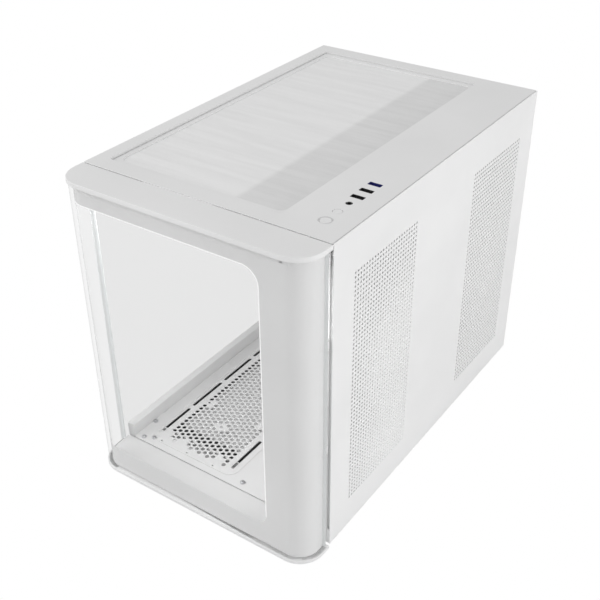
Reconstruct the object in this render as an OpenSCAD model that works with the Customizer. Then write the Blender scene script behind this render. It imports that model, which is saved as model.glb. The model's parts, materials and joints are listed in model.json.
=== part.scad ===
// Dual-chamber desktop computer case: pillarless glass front and left side, perforated steel right side.
// Frame: +X right, front faces -Y, +Z up. Origin on the ground at the middle of the footprint.

/* [Overall] */
// Outer width across the side panels
case_w = 285; // [270:1:345]
// Outer depth from the front glass to the rear panel
case_d = 456; // [420:1:550]
// Height of the body, without the feet
body_h = 348; // [335:1:420]
// Height of the body's lower edge above the ground
foot_h = 14; // [12:1:20]
// Depth of the curved front module
front_d = 40; // [34:1:52]
// Plan radius of the front corners
corner_r = 28; // [20:1:34]

/* [Sheet and glass] */
// Thickness of the steel sheets
steel_t = 1; // [0.8:0.1:1.5]
// Thickness of the tempered glass
glass_t = 4; // [3:0.5:5]
// Thickness of the front module's top and bottom plates
cap_t = 5; // [4:0.5:7]
// Set-back of the front glass from the edge of its plates
glass_inset = 1.5; // [1:0.1:3]
// Gap between neighbouring outer pieces
seam = 1; // [0.6:0.1:1.5]
// Gap between the front glass and the right side panel
side_gap = 5; // [3:0.5:8]
// Gap between the front glass and the left glass
glass_gap = 4; // [2:0.5:6]
// Clearance around a piece that lifts or slides off
loose = 0.5; // [0.4:0.1:1]

/* [Chassis] */
// Height of the floor sheet above the body's lower edge
floor_up = 5; // [4:0.5:8]
// Set-back of the floor sheet's front edge from the seam
floor_back = 7; // [5:1:12]
// Distance of the motherboard tray from the right outer face
tray_in = 106; // [100:1:112]
// Distance from the seam to the partition at the tray's front edge
bay_d = 150; // [145:1:165]
// Distance of the side fan bracket from the right outer face
bracket_in = 46; // [40:1:52]
// Height of the lower rails above the body's lower edge
rail_h = 22; // [18:1:26]
// Width of the rails
rail_w = 9; // [7:1:12]
// Depth of the top frame sheet below the top face
top_frame_down = 24; // [20:1:28]

/* [Fans] */
// Screw spacing of a 120 mm fan
fan_hole_s = 105; // [105]
// Size of a fan
fan_w = 120; // [120]
// Screw hole of a fan
fan_hole_d = 4.5; // [4.3:0.1:4.8]
// Width of the floor's fan slots
slot_w = 4; // [3.5:0.1:4.5]
// Length of a floor fan slot
slot_l = 54; // [40:1:56]
// Pitch of the floor fan slots
slot_pitch = 60; // [58:1:64]
// Number of slots in each row
slot_n = 6; // [4:1:6]
// Distance of the first slots from the floor sheet's front edge
slot_front = 20; // [14:1:24]
// Distance of the fan line from the left outer face
fan_line_in = 86.5; // [80:0.5:90]
// Across flats of a coarse vent opening
vent_hole = 9.5; // [7:0.5:10]
// Pitch of the coarse vent openings
vent_pitch = 15; // [14:0.5:18]

/* [Side vents] */
// Width of a side vent
vent_w = 116; // [100:1:120]
// Height of a side vent
vent_h = 269; // [240:1:275]
// Distance of the front vent from the seam
vent_front = 32; // [25:1:40]
// Distance of the rear vent from the rear face
vent_rear = 34; // [28:1:40]

/* [Top] */
// Width of the dust filter
filter_w = 202; // [190:1:206]
// Margin of the dust filter from the seam and the rear face
filter_margin = 19; // [15:0.5:24]
// Distance of the dust filter from the left outer face
filter_left = 16; // [12:0.5:20]
// Depth of the recess that holds the dust filter
recess = 4; // [3.5:0.5:5]
// Thickness of the dust filters' frames
filter_t = 1.8; // [1.6:0.1:2.2]
// Thickness of the filter mesh
mesh_t = 0.4; // [0.3:0.1:0.6]
// Depth of the top panel's left edge flange
skirt_h = 10; // [8:1:11]
// Width of the ledge that the dust filter rests on
ledge_w = 7; // [5:0.5:10]

/* [Front I/O] */
// Distance of the I/O row from the right outer face
io_in = 28.5; // [26:0.5:32]
// Power button diameter
power_d = 11; // [10:0.5:13]
// Outer diameter of the light ring
ring_d = 13.5; // [12.5:0.1:15]
// Second button diameter
reset_d = 9; // [7:0.5:10]
// Travel of the buttons
button_travel = 1.2; // [0.8:0.1:1.5]
// Radial clearance around a button
button_gap = 0.3; // [0.2:0.05:0.5]
// Width of a USB port's opening
usb_w = 12.6; // [12.4:0.1:12.8]
// Height of a USB port's opening
usb_h = 5.2; // [4.8:0.1:5.4]
// Bore of the audio jack
jack_d = 3.6; // [3.5:0.05:3.7]
// Depth of the circuit board below the top sheet
board_down = 15; // [14:0.5:17]

/* [Motherboard] */
// Height of a standoff
standoff_h = 6.5; // [6:0.5:8]
// Tapped hole of a standoff
standoff_bore = 2.5; // [2.4:0.1:2.6]
// Edge length of a micro board
board_w = 244; // [244]
// Depth of the board's upper edge below the top face
board_top_down = 60; // [56:1:64]
// Pitch of the expansion slots
card_pitch = 20.32; // [20.32]
// Number of expansion slots
card_n = 4; // [4]

/* [Hidden] */
$fn = 48;
xl = -case_w / 2;
xr = case_w / 2;
yf = -case_d / 2;
ys = yf + front_d;
yb = case_d / 2;
z0 = foot_h;
z1 = foot_h + body_h;
eps = 0.01;

// Chassis planes
floor_top = z0 + floor_up + steel_t;
floor_y0 = ys + floor_back;
inner_l = xl + glass_t + seam;
inner_r = xr - steel_t - seam;
tray_x = xr - tray_in;
bay_y = ys + bay_d;
bracket_x = xr - bracket_in;
rear_y = yb - steel_t;
frame_y0 = ys + 2;
frame_z = z1 - top_frame_down;
rail_z = z0 + rail_h;
fan_x = xl + fan_line_in;
front_post_w = 10;
rear_post_w = [12, 14];

// Fan openings
fan_open_r = fan_w / 2 - 3;
grille_r = fan_w / 2 - 5;
fan_gap = 2;
field_gap = 8;
top_open = [92, 3 * fan_w - 6];
top_slot_l = fan_w - 16;

// Cable passages of the partition and the top frame
pass_w = 36;
pass_h = 80;
pass_in = 70;
top_pass = [32, 70];
top_pass_x = bracket_x - 46;
top_pass_y = [ys + 60, yb - 120];

// Vents
vent_z = z0 + (body_h - vent_h) / 2 - 4;
vent_y = [ys + vent_front, yb - vent_rear - vent_w];

// Dust filter of the top
filter_x0 = xl + filter_left;
filter_y0 = ys + filter_margin;
filter_l = yb - filter_margin - filter_y0;
ledge_z = z1 - recess - steel_t;

// Front module
front_in = glass_inset + glass_t + loose;
plate_back = ys - seam;
plate_skirt = [3, 8];
shelf_cut = 10;

// Front I/O row, as distances behind the seam
io_x = xr - io_in;
power_y = ys + 30.5;
reset_y = ys + 49.5;
jack_y = ys + 68;
usb_y = [ys + 82.5, ys + 97.5, ys + 112.5];
io_under = z1 - steel_t;
pcb_t = 1.6;
pcb_top = io_under - board_down;
pcb_w = 22;
holder_wall = 2;
pcb_y = [ys + 22, ys + 124];
usb_wall = 0.4;
usb_tongue = 1.8;
tongue_gap = 0.6;
flange_t = 1.5;
flange_w = 1.2;
switch_w = 6;
switch_h = 5;
key_h = 1.5;
key_d = 3.4;
jack_body = [9, 8];

// Motherboard, from its upper rear corner
board_z = z1 - board_top_down;
board_y = rear_y - 1;
hole_down = [6.35, 163.83, 209.55];
hole_fore = [33.02, 165.1, 237.49];
hole_fore_low = 10.16;
standoff_w = 6;
rivet_d = 4;
cooler_y = [board_y - 140, board_y - 50];
cooler_z = [board_z - 130, board_z - 20];
upper_cable_y = [board_y - 70, board_y - 170];
upper_cable_l = 50;
upper_cable_z = [board_z + 14, board_z + 28];

// Rear panel openings
shield_w = 44.45;
shield_l = 158.75;
shield_x = tray_x - standoff_h + 2 - shield_w;
shield_z = board_z - 2 - shield_l;
card_first = board_z - 174;
card_x = [tray_x - 8 - 112, tray_x - 8];
card_w = 14;
card_hole_d = 3;
card_hole_x = card_x[0] - 6;
cover_h = 18;
cover_x = [card_x[0] - 12, card_x[1] + 3];
cover_fold = 9;
screw_head = [6, 2.4];
function card_z(i) = card_first - i * card_pitch;
rear_fan_x = inner_l + 1 + fan_w / 2;
rear_fan_z = shield_z + shield_l / 2;
psu_w = 86;
psu_l = 150;
psu_x = tray_x + steel_t + 6 + psu_w / 2;
psu_z = floor_top + 8 + psu_l / 2;
psu_lip = [5, 15];
psu_pad = [12, 20, 6];
psu_pad_in = 13;
psu_pad_y = [rear_y - 24, rear_y - 120];
psu_holes = [64, 138];
psu_hole_d = 4;

// Cable openings of the tray, beside the board's front edge
cable_l = 11;
cable_h = 70;
cable_y = (bay_y + steel_t + board_y - board_w) / 2;
cable_z = [board_z - 40, board_z - 122, board_z - 204];
grommet_lip = 2;

// Drive cage in front of the power supply, with trays that lift out
drive_l = 147;
drive_w = 101.6;
drive_hole_d = 3.2;
drive_hole_z = [28.5, 70, 130];
cage_w = 75;
cage_x0 = inner_r - rail_w - loose - cage_w;
cage_y0 = cable_y + cable_l / 2 + grommet_lip + 1;
cage_l = drive_w + 2 * steel_t + 2 * loose + 1;
cage_h = drive_l + 3;
bay_w = (cage_w - 3 * steel_t) / 2;
tray_t = 2;
tray_w = 34;
tray_lip = 12;
handle_l = 40;
handle_h = 7;

// Bracket for a small drive, on the back of the tray
ssd_hole_s = [61.72, 76.6];
ssd_size = [70, 100];
ssd_t = 1.2;
ssd_gap = 3;
ssd_window = 36;
ssd_y0 = board_y - board_w + 8;
ssd_z0 = floor_top + cage_h + 20;

// Feet
foot_r = 12;
pad_h = 3;
foot_x = case_w / 2 - 30;
foot_y = [ys + 22, yb - 30];

// Bottom dust filter
low_filter_z = z0 - loose - filter_t;
low_filter_y = [foot_y[0] + foot_r + 6, foot_y[1] - foot_r - 6];

// Catches and studs of the removable outer pieces
clip_z = [z0 + 125, z0 + 246];
clip_h = 10;
clip_t = 4;
hook_t = 5;
tab_out = 2.5;
stud_d = 3;
stud_h = 3;
socket_d = 7;
socket_h = 5;
stud_x0 = xl + glass_t + seam / 2;
stud_y = [ys + 30, yb - 30];
strip_z = [rail_z - 8, frame_z + 8];
strip_h = 8;
strip_in = 16;
fold_w = 9;

// Dust filters: low and high corners of their frames
top_filter = [
    [filter_x0 + loose, filter_y0 + loose],
    [filter_x0 + filter_w - loose, filter_y0 + filter_l - loose]
];
low_filter = [[fan_x - 62, low_filter_y[0]], [fan_x + 62, low_filter_y[1]]];
low_wall = 18;
bar_w = 4;

// Small fits of the I/O row
jack_neck = 6;
stem_d = 4;
stem_z = pcb_top + switch_h + button_travel + 0.1;
ring_z = z1 - steel_t - 2.5;
ring_lip = 1.5;

shade = "white";
dim = "gainsboro";

// A block between two opposite corners
module block(lo, hi) {
    translate(lo) cube(hi - lo);
}

// A block with round vertical edges, from cylinders and blocks
module round_block(lo, hi, r) {
    translate([0, 0, lo.z]) linear_extrude(hi.z - lo.z) round_rect([lo.x, lo.y], [hi.x, hi.y], r);
}

// A rectangle with round corners between two opposite corners
module round_rect(lo, hi, r) {
    translate([lo.x + r, lo.y]) square([hi.x - lo.x - 2 * r, hi.y - lo.y]);
    translate([lo.x, lo.y + r]) square([hi.x - lo.x, hi.y - lo.y - 2 * r]);
    for (x = [lo.x + r, hi.x - r], y = [lo.y + r, hi.y - r]) translate([x, y]) circle(r);
}

// Plan outline of the front module up to the distance back: round at the two front corners
module front_outline(inset, back) {
    r = corner_r - inset;
    intersection() {
        union() {
            translate([xl + inset, yf + corner_r]) square([case_w - 2 * inset, back - yf - corner_r]);
            translate([xl + corner_r, yf + inset]) square([case_w - 2 * corner_r, back - yf - inset]);
            for (x = [xl + corner_r, xr - corner_r]) translate([x, yf + corner_r]) circle(r);
        }
        translate([xl, yf]) square([case_w, back - yf]);
    }
}

// A hexagonal opening through a sheet, along Z
module hex_hole(across, h) {
    cylinder(d = across / cos(30), h = h, $fn = 6);
}

// Staggered openings that fill a rectangle from the origin, along Z
module hex_field(w, l, pitch, across, h) {
    step = pitch * cos(30);
    cols = floor((w - across) / step) + 1;
    rows = floor((l - across - pitch / 2) / pitch) + 1;
    dx = (w - (cols - 1) * step) / 2;
    dy = (l - (rows - 0.5) * pitch) / 2;
    for (i = [0 : cols - 1], j = [0 : rows - 1])
        translate([dx + i * step, dy + (j + (i % 2) / 2) * pitch, 0]) hex_hole(across, h);
}

// The four screw holes of a fan, along Z, centred
module fan_holes(h) {
    for (x = [-1, 1], y = [-1, 1])
        translate([x * fan_hole_s / 2, y * fan_hole_s / 2, 0]) cylinder(d = fan_hole_d, h = h);
}

// A round-ended slot along Y, through Z
module slot_y(w, l, h) {
    translate([-w / 2, -(l - w) / 2, 0]) cube([w, l - w, h]);
    for (y = [-1, 1]) translate([0, y * (l - w) / 2, 0]) cylinder(d = w, h = h);
}

// Puts a child at a board hole, pointing from the main chamber through the tray
module at_board_hole(i, j) {
    fore = i == 0 && j > 0 ? hole_fore_low : hole_fore[i];
    translate([tray_x, board_y - fore, board_z - hole_down[j]]) rotate([0, 90, 0]) children();
}

module chassis_floor() {
    first = floor_y0 + slot_front + slot_l / 2;
    field_w = fan_hole_s - slot_w - 2 * field_gap;
    field_l = (slot_n - 1) * slot_pitch + slot_l;
    color(shade) difference() {
        union() {
            block([inner_l, floor_y0, floor_top - steel_t], [inner_r, rear_y, floor_top]);
            block([inner_l, floor_y0, z0], [inner_r, floor_y0 + steel_t, floor_top]);
            for (x = [inner_l, inner_r - steel_t])
                block([x, floor_y0, z0], [x + steel_t, rear_y, floor_top]);
        }
        for (x = [-1, 1], i = [0 : slot_n - 1])
            translate([fan_x + x * fan_hole_s / 2, first + i * slot_pitch, floor_top - 2 * steel_t])
                slot_y(slot_w, slot_l, 3 * steel_t);
        translate([fan_x - field_w / 2, first - slot_l / 2, floor_top - 2 * steel_t])
            hex_field(field_w, field_l, vent_pitch, vent_hole, 3 * steel_t);
    }
}

// Folded lower rail with a hollow core, and the holes of its stud sockets from the side x
module floor_rail(x0, x1, x) {
    difference() {
        block([x0, floor_y0, floor_top], [x1, rear_y, rail_z]);
        block([x0 + steel_t, floor_y0 + steel_t, floor_top - 1],
            [x1 - steel_t, rear_y - steel_t, rail_z - steel_t]);
        for (y = stud_y) translate([x - 2, y, strip_z[0]]) rotate([0, 90, 0]) cylinder(d = socket_d, h = 4);
    }
}

module floor_rail_left() {
    color(shade) floor_rail(inner_l, inner_l + rail_w, inner_l);
}

module floor_rail_right() {
    color(shade) floor_rail(inner_r - rail_w, inner_r, inner_r);
}

// Rear sheet: board shield opening, card slots, fan grille and power supply opening
module rear_panel() {
    color(shade) difference() {
        block([inner_l, rear_y, z0], [inner_r, yb, z1 - steel_t]);
        block([shield_x, rear_y - 1, shield_z], [shield_x + shield_w, yb + 1, shield_z + shield_l]);
        for (i = [0 : card_n - 1]) {
            block([card_x[0], rear_y - 1, card_z(i) - card_w / 2],
                [card_x[1], yb + 1, card_z(i) + card_w / 2]);
            translate([card_hole_x, rear_y - 1, card_z(i)]) rotate([-90, 0, 0])
                cylinder(d = card_hole_d, h = 3 * steel_t);
        }
        translate([rear_fan_x, yb + steel_t, rear_fan_z]) rotate([90, 0, 0]) {
            fan_holes(3 * steel_t);
            intersection() {
                translate([-fan_w / 2, -fan_w / 2, 0])
                    hex_field(fan_w, fan_w, vent_pitch, vent_hole, 3 * steel_t);
                cylinder(r = grille_r, h = 3 * steel_t);
            }
        }
        block([psu_x - psu_w / 2 + psu_lip[0], rear_y - 1, psu_z - psu_l / 2 + psu_lip[1]],
            [psu_x + psu_w / 2 - psu_lip[0], yb + 1, psu_z + psu_l / 2 - psu_lip[1]]);
        for (x = [-1, 1], z = [-1, 1])
            translate([psu_x + x * psu_holes[0] / 2, rear_y - 1, psu_z + z * psu_holes[1] / 2])
                rotate([-90, 0, 0]) cylinder(d = psu_hole_d, h = 3 * steel_t);
    }
}

module motherboard_tray() {
    color(shade) difference() {
        block([tray_x, bay_y + steel_t, floor_top], [tray_x + steel_t, rear_y, frame_z]);
        for (z = cable_z)
            block([tray_x - 1, cable_y - cable_l / 2, z - cable_h / 2],
                [tray_x + 2, cable_y + cable_l / 2, z + cable_h / 2]);
        block([tray_x - 1, cooler_y[0], cooler_z[0]], [tray_x + 2, cooler_y[1], cooler_z[1]]);
        for (y = upper_cable_y)
            block([tray_x - 1, y - upper_cable_l / 2, upper_cable_z[0]],
                [tray_x + 2, y + upper_cable_l / 2, upper_cable_z[1]]);
        for (i = [0 : 2], j = [0 : 2])
            at_board_hole(i, j) cylinder(d = rivet_d, h = 3 * steel_t, center = true);
    }
}

module bay_partition() {
    mid = (tray_x + bracket_x) / 2;
    color(shade) difference() {
        block([tray_x, bay_y, floor_top], [bracket_x, bay_y + steel_t, frame_z]);
        for (z = [floor_top + pass_in, frame_z - pass_in])
            block([mid - pass_w / 2, bay_y - 1, z - pass_h / 2],
                [mid + pass_w / 2, bay_y + 2, z + pass_h / 2]);
    }
}

// Bracket for two fans behind the front side vent
module side_fan_bracket() {
    mid_y = vent_y[0] + vent_w / 2;
    mid_z = (floor_top + frame_z) / 2;
    color(shade) difference() {
        block([bracket_x, frame_y0 + front_post_w, floor_top],
            [bracket_x + steel_t, bay_y + steel_t, frame_z]);
        for (s = [-1, 1])
            translate([bracket_x - 1, mid_y, mid_z + s * (fan_w + fan_gap) / 2]) rotate([0, 90, 0]) {
                cylinder(r = fan_open_r, h = 3 * steel_t);
                fan_holes(3 * steel_t);
            }
    }
}

// Folded post at the front of the rear chamber
module front_post() {
    color(shade) {
        block([bracket_x, frame_y0, floor_top + 1], [bracket_x + steel_t, frame_y0 + front_post_w, frame_z]);
        block([bracket_x + steel_t, frame_y0, rail_z], [inner_r, frame_y0 + steel_t, frame_z]);
    }
}

// Folded post that joins the rear panel to the top frame on the right
module rear_post() {
    color(shade) {
        block([inner_r - steel_t, rear_y - rear_post_w[1], rail_z], [inner_r, rear_y, frame_z]);
        block([inner_r - rear_post_w[0], rear_y - rear_post_w[1], rail_z],
            [inner_r - steel_t, rear_y - rear_post_w[1] + steel_t, frame_z]);
    }
}

// Upper frame sheet with a fan opening between two rows of screw slots
module top_frame() {
    mid = (ys + yb) / 2;
    color(shade) difference() {
        union() {
            block([inner_l, frame_y0, frame_z], [inner_r, rear_y, frame_z + steel_t]);
            for (x = [inner_l, inner_r - steel_t])
                block([x, frame_y0, frame_z], [x + steel_t, rear_y, z1 - steel_t]);
        }
        block([fan_x - top_open.x / 2, mid - top_open.y / 2, frame_z - 1],
            [fan_x + top_open.x / 2, mid + top_open.y / 2, frame_z + 2]);
        for (x = [-1, 1], i = [-1 : 1])
            translate([fan_x + x * fan_hole_s / 2, mid + i * fan_w, frame_z - 1])
                slot_y(slot_w, top_slot_l, 3 * steel_t);
        for (y = top_pass_y)
            block([top_pass_x, y, frame_z - 1], [top_pass_x + top_pass.x, y + top_pass.y, frame_z + 2]);
        for (x = [inner_l, inner_r], y = stud_y)
            translate([x - 2, y, strip_z[1]]) rotate([0, 90, 0]) cylinder(d = socket_d, h = 4);
    }
}

// Folded top sheet with the recess of the dust filter and the openings of the I/O row
module top_panel() {
    lo = [filter_x0, filter_y0];
    hi = [filter_x0 + filter_w, filter_y0 + filter_l];
    color(shade) difference() {
        union() {
            block([xl, ys, z1 - steel_t], [xr - steel_t - seam / 2, yb, z1]);
            block([xl, ys, z1 - skirt_h], [xl + steel_t, rear_y, z1]);
            block([lo.x - steel_t, lo.y - steel_t, ledge_z], [hi.x + steel_t, hi.y + steel_t, z1]);
        }
        block([lo.x, lo.y, z1 - recess], [hi.x, hi.y, z1 + 1]);
        block([lo.x + ledge_w, lo.y + ledge_w, ledge_z - 1], [hi.x - ledge_w, hi.y - ledge_w, z1]);
        io_hole(power_y) cylinder(d = ring_d, h = 3 * steel_t);
        io_hole(reset_y) cylinder(d = reset_d + 2 * button_gap, h = 3 * steel_t);
        io_hole(jack_y) cylinder(d = jack_neck, h = 3 * steel_t);
        for (y = usb_y)
            io_hole(y) translate([-usb_w / 2, -usb_h / 2, 0]) cube([usb_w, usb_h, 3 * steel_t]);
    }
}

// Puts a cutter of the top sheet at the distance y along the I/O row
module io_hole(y) {
    translate([io_x, y, z1 - 2 * steel_t]) children();
}

// Frame of a dust filter: a ring with bars across it
module filter_frame(lo, hi, z, wall, bars) {
    step = (hi.y - lo.y) / (bars + 1);
    translate([0, 0, z]) linear_extrude(filter_t) {
        difference() {
            round_rect(lo, hi, 3);
            translate([lo.x + wall, lo.y + wall]) square([hi.x - lo.x - 2 * wall, hi.y - lo.y - 2 * wall]);
        }
        for (i = [1 : bars])
            translate([lo.x + wall - 1, lo.y + i * step - bar_w / 2])
                square([hi.x - lo.x - 2 * wall + 2, bar_w]);
    }
}

// A sheet of coarse openings, which stand for a fine mesh
module filter_mesh(lo, hi, z, wall) {
    w = hi.x - lo.x;
    l = hi.y - lo.y;
    translate([lo.x, lo.y, z]) difference() {
        cube([w, l, mesh_t]);
        translate([wall, wall, -1]) hex_field(w - 2 * wall, l - 2 * wall, 2 * vent_pitch, 2 * vent_hole, 3);
    }
}

module top_filter_frame() {
    color(shade) filter_frame(top_filter[0], top_filter[1], z1 - recess, ledge_w - 1, 2);
}

module top_filter_mesh() {
    lo = [top_filter[0].x + 1, top_filter[0].y + 1];
    hi = [top_filter[1].x - 1, top_filter[1].y - 1];
    color(dim) filter_mesh(lo, hi, z1 - recess + filter_t, ledge_w);
}

// Upper plate with a skirt inside the glass
module front_top_plate() {
    wall = plate_skirt[0];
    depth = plate_skirt[1];
    color(shade) {
        translate([0, 0, z1 - cap_t]) linear_extrude(cap_t) front_outline(0, plate_back);
        translate([0, 0, z1 - cap_t - depth]) linear_extrude(depth) difference() {
            front_outline(front_in, plate_back);
            front_outline(front_in + wall, plate_back - wall - 1);
        }
    }
}

// Lower plate, with an inner shelf that runs back to the chassis floor
module front_bottom_plate() {
    color(shade) {
        translate([0, 0, z0 - cap_t]) linear_extrude(cap_t - seam) front_outline(0, plate_back);
        translate([0, 0, z0 - seam]) linear_extrude(floor_up + steel_t + seam - loose) difference() {
            front_outline(front_in, floor_y0 - seam);
            translate([xr - shelf_cut, plate_back]) square([shelf_cut, front_d]);
            translate([xl, plate_back]) square([glass_t + seam, front_d]);
        }
    }
}

// Curved glass round the whole front, open at the back
module front_glass() {
    color([0.9, 0.93, 0.93, 0.35]) translate([0, 0, z0 - seam]) linear_extrude(body_h - cap_t + seam)
        difference() {
            front_outline(glass_inset, ys - glass_gap / 2);
            front_outline(glass_inset + glass_t, ys);
            translate([0, ys - side_gap]) square([xr, side_gap]);
        }
}

// Catches bonded inside the glass, which hook the front module to the front post
module front_clips() {
    in = xr - glass_inset - glass_t;
    edge = ys - side_gap;
    color(shade) for (z = clip_z) translate([in, 0, z - clip_h / 2]) {
        block([-clip_t, yf + corner_r + 1, 0], [0, ys - loose, clip_h]);
        block([-clip_t, edge + loose / 2, 0], [tab_out, ys - loose, clip_h]);
        block([-clip_t - hook_t, edge - clip_t, 0], [-clip_t, frame_y0 - loose, clip_h]);
    }
}

module left_glass() {
    color([0.9, 0.93, 0.93, 0.35])
        block([xl, ys + glass_gap / 2, z0 + seam], [xl + glass_t, yb - 2 * seam, z1 - skirt_h - loose]);
}

// Steel strip bonded along the inside of the left glass
module glass_strip(z) {
    color(dim) block([xl + glass_t, ys + strip_in, z - strip_h / 2],
        [stud_x0, yb - strip_in, z + strip_h / 2]);
}

module left_glass_strip_upper() {
    glass_strip(strip_z[1]);
}

module left_glass_strip_lower() {
    glass_strip(strip_z[0]);
}

module left_glass_studs() {
    color("silver") for (y = stud_y, z = strip_z)
        translate([stud_x0, y, z]) rotate([0, 90, 0]) cylinder(d = stud_d, h = stud_h);
}

// Bushes in the frame that grip the panels' studs, four on each side
module stud_sockets() {
    color("dimgray") for (x = [inner_l, inner_r - socket_h], y = stud_y, z = strip_z)
        translate([x, y, z]) rotate([0, 90, 0]) difference() {
            cylinder(d = socket_d, h = socket_h);
            translate([0, 0, -1]) cylinder(d = stud_d + 2 * loose, h = socket_h + 2);
        }
}

// Steel side panel with two perforated vents and a folded front edge
module right_side_panel() {
    color(shade) difference() {
        union() {
            block([xr - steel_t, ys, z0], [xr, yb, z1]);
            block([xr - fold_w, ys, z0 + 1], [xr - steel_t / 2, ys + steel_t, z1 - 2]);
        }
        for (y = vent_y) translate([xr + 1, y, vent_z]) rotate([0, -90, 0])
            hex_field(vent_h, vent_w, vent_pitch, vent_hole, 3 * steel_t);
    }
}

module right_panel_studs() {
    color("silver") for (y = stud_y, z = strip_z)
        translate([inner_r + seam - stud_h, y, z]) rotate([0, 90, 0]) cylinder(d = stud_d, h = stud_h);
}

// Blanking plate of one expansion slot, inside the rear panel
module slot_cover(i) {
    color(dim) difference() {
        union() {
            translate([cover_x[0], rear_y - steel_t, card_z(i) - cover_h / 2])
                cube([cover_x[1] - cover_x[0], steel_t, cover_h]);
            translate([cover_x[0], rear_y - cover_fold, card_z(i) - cover_h / 2])
                cube([steel_t, cover_fold, cover_h]);
        }
        translate([card_hole_x, rear_y - 2 * steel_t, card_z(i)]) rotate([-90, 0, 0])
            cylinder(d = card_hole_d, h = 3 * steel_t);
    }
}

module slot_screws() {
    color("silver") for (i = [0 : card_n - 1])
        translate([card_hole_x, rear_y - steel_t, card_z(i)]) rotate([-90, 0, 0]) {
            cylinder(d = card_hole_d - 0.1, h = 2 * steel_t);
            translate([0, 0, -screw_head[1]]) cylinder(d = screw_head[0], h = screw_head[1]);
        }
}

// Hexagonal standoffs with a tapped hole, riveted into the tray
module standoffs() {
    color("goldenrod") for (i = [0 : 2], j = [0 : 2]) at_board_hole(i, j) difference() {
        union() {
            translate([0, 0, -standoff_h]) cylinder(d = standoff_w, h = standoff_h, $fn = 6);
            translate([0, 0, -eps]) cylinder(d = rivet_d, h = steel_t + eps);
        }
        translate([0, 0, -standoff_h - 1]) cylinder(d = standoff_bore, h = standoff_h + 1);
    }
}

// Rubber lip round one cable opening of the tray
module cable_grommet(i) {
    lip = grommet_lip;
    wall = 1.5;
    y = [cable_y - cable_l / 2, cable_y + cable_l / 2];
    z = [cable_z[i] - cable_h / 2, cable_z[i] + cable_h / 2];
    color("dimgray") difference() {
        union() {
            block([tray_x, y[0], z[0]], [tray_x + steel_t, y[1], z[1]]);
            for (x = [tray_x - lip / 2, tray_x + steel_t])
                block([x, y[0] - lip, z[0] - lip], [x + lip / 2, y[1] + lip, z[1] + lip]);
        }
        block([tray_x - 3, y[0] + wall, z[0] + wall], [tray_x + 4, y[1] - wall, z[1] - wall]);
    }
}

// Cage with two bays, open at the top
module drive_cage() {
    color(shade) difference() {
        block([cage_x0, cage_y0, floor_top], [cage_x0 + cage_w, cage_y0 + cage_l, floor_top + cage_h]);
        for (i = [0, 1])
            block([cage_x0 + steel_t + i * (bay_w + steel_t), cage_y0 + steel_t, floor_top + steel_t],
                [cage_x0 + (i + 1) * (bay_w + steel_t), cage_y0 + cage_l - steel_t, floor_top + cage_h + 1]);
    }
}

// Tray for one large drive: a back wall, two side lips, a foot and a handle
module drive_tray(i) {
    l = cage_l - 2 * steel_t - 2 * loose;
    handle_y = (l - handle_l) / 2;
    color("dimgray")
        translate([cage_x0 + steel_t + i * (bay_w + steel_t), cage_y0 + steel_t, floor_top + steel_t])
        translate([loose, loose, loose]) difference() {
            union() {
                cube([tray_t, l, cage_h]);
                for (y = [0, l - tray_t]) translate([0, y, 0]) cube([tray_lip, tray_t, cage_h - 2 * tray_t]);
                cube([tray_w, l, tray_t]);
                translate([0, handle_y, cage_h - tray_t]) cube([tray_w, handle_l, tray_t]);
                translate([tray_w - tray_t, handle_y, cage_h - tray_t])
                    cube([tray_t, handle_l, handle_h + tray_t]);
            }
            for (z = drive_hole_z, y = [-1, l - tray_t - 1])
                translate([tray_lip / 2, y, z]) rotate([-90, 0, 0])
                    cylinder(d = drive_hole_d, h = tray_t + 2);
        }
}

module ssd_bracket() {
    mid = [ssd_y0 + ssd_size[0] / 2, ssd_z0 + ssd_size[1] / 2];
    x = tray_x + steel_t;
    plate_x = x + ssd_gap;
    color(shade) difference() {
        union() {
            translate([plate_x, ssd_y0, ssd_z0]) cube([ssd_t, ssd_size[0], ssd_size[1]]);
            for (z = [ssd_z0, ssd_z0 + ssd_size[1] - ssd_t])
                translate([x, ssd_y0, z]) cube([ssd_gap + ssd_t, ssd_size[0], ssd_t]);
        }
        for (y = [-1, 1], z = [-1, 1])
            translate([x, mid[0] + y * ssd_hole_s[0] / 2, mid[1] + z * ssd_hole_s[1] / 2])
                rotate([0, 90, 0]) cylinder(d = drive_hole_d, h = 2 * ssd_gap + ssd_t);
        translate([x, mid[0], mid[1]]) rotate([0, 90, 0]) cylinder(d = ssd_window, h = 2 * ssd_gap + ssd_t);
    }
}

module psu_pads() {
    out = psu_w / 2 - psu_pad_in;
    color("dimgray") for (x = [psu_x - out, psu_x + out], y = psu_pad_y)
        translate([x - psu_pad.x / 2, y - psu_pad.y / 2, floor_top]) cube(psu_pad);
}

// Open carrier between the top frame and the circuit board of the I/O row
module io_holder() {
    out = pcb_w / 2 + holder_wall;
    in = pcb_w / 2 - holder_wall;
    color("dimgray") difference() {
        block([io_x - out, pcb_y[0] - holder_wall, frame_z + steel_t],
            [io_x + out, pcb_y[1] + holder_wall, pcb_top - pcb_t]);
        block([io_x - in, pcb_y[0] + holder_wall, frame_z], [io_x + in, pcb_y[1] - holder_wall, pcb_top]);
    }
}

module io_board() {
    color("darkgreen") translate([io_x - pcb_w / 2, pcb_y[0], pcb_top - pcb_t])
        cube([pcb_w, pcb_y[1] - pcb_y[0], pcb_t]);
}

// Cap, retaining flange and stem of a button at the distance y, with its stop at the height top
module button(y, d, flange, top) {
    translate([io_x, y, 0]) {
        translate([0, 0, top - flange_t]) cylinder(d = d, h = z1 - top + flange_t);
        translate([0, 0, top - flange_t]) cylinder(d = flange, h = flange_t);
        translate([0, 0, stem_z]) cylinder(d = stem_d, h = top - flange_t - stem_z);
    }
}

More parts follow.
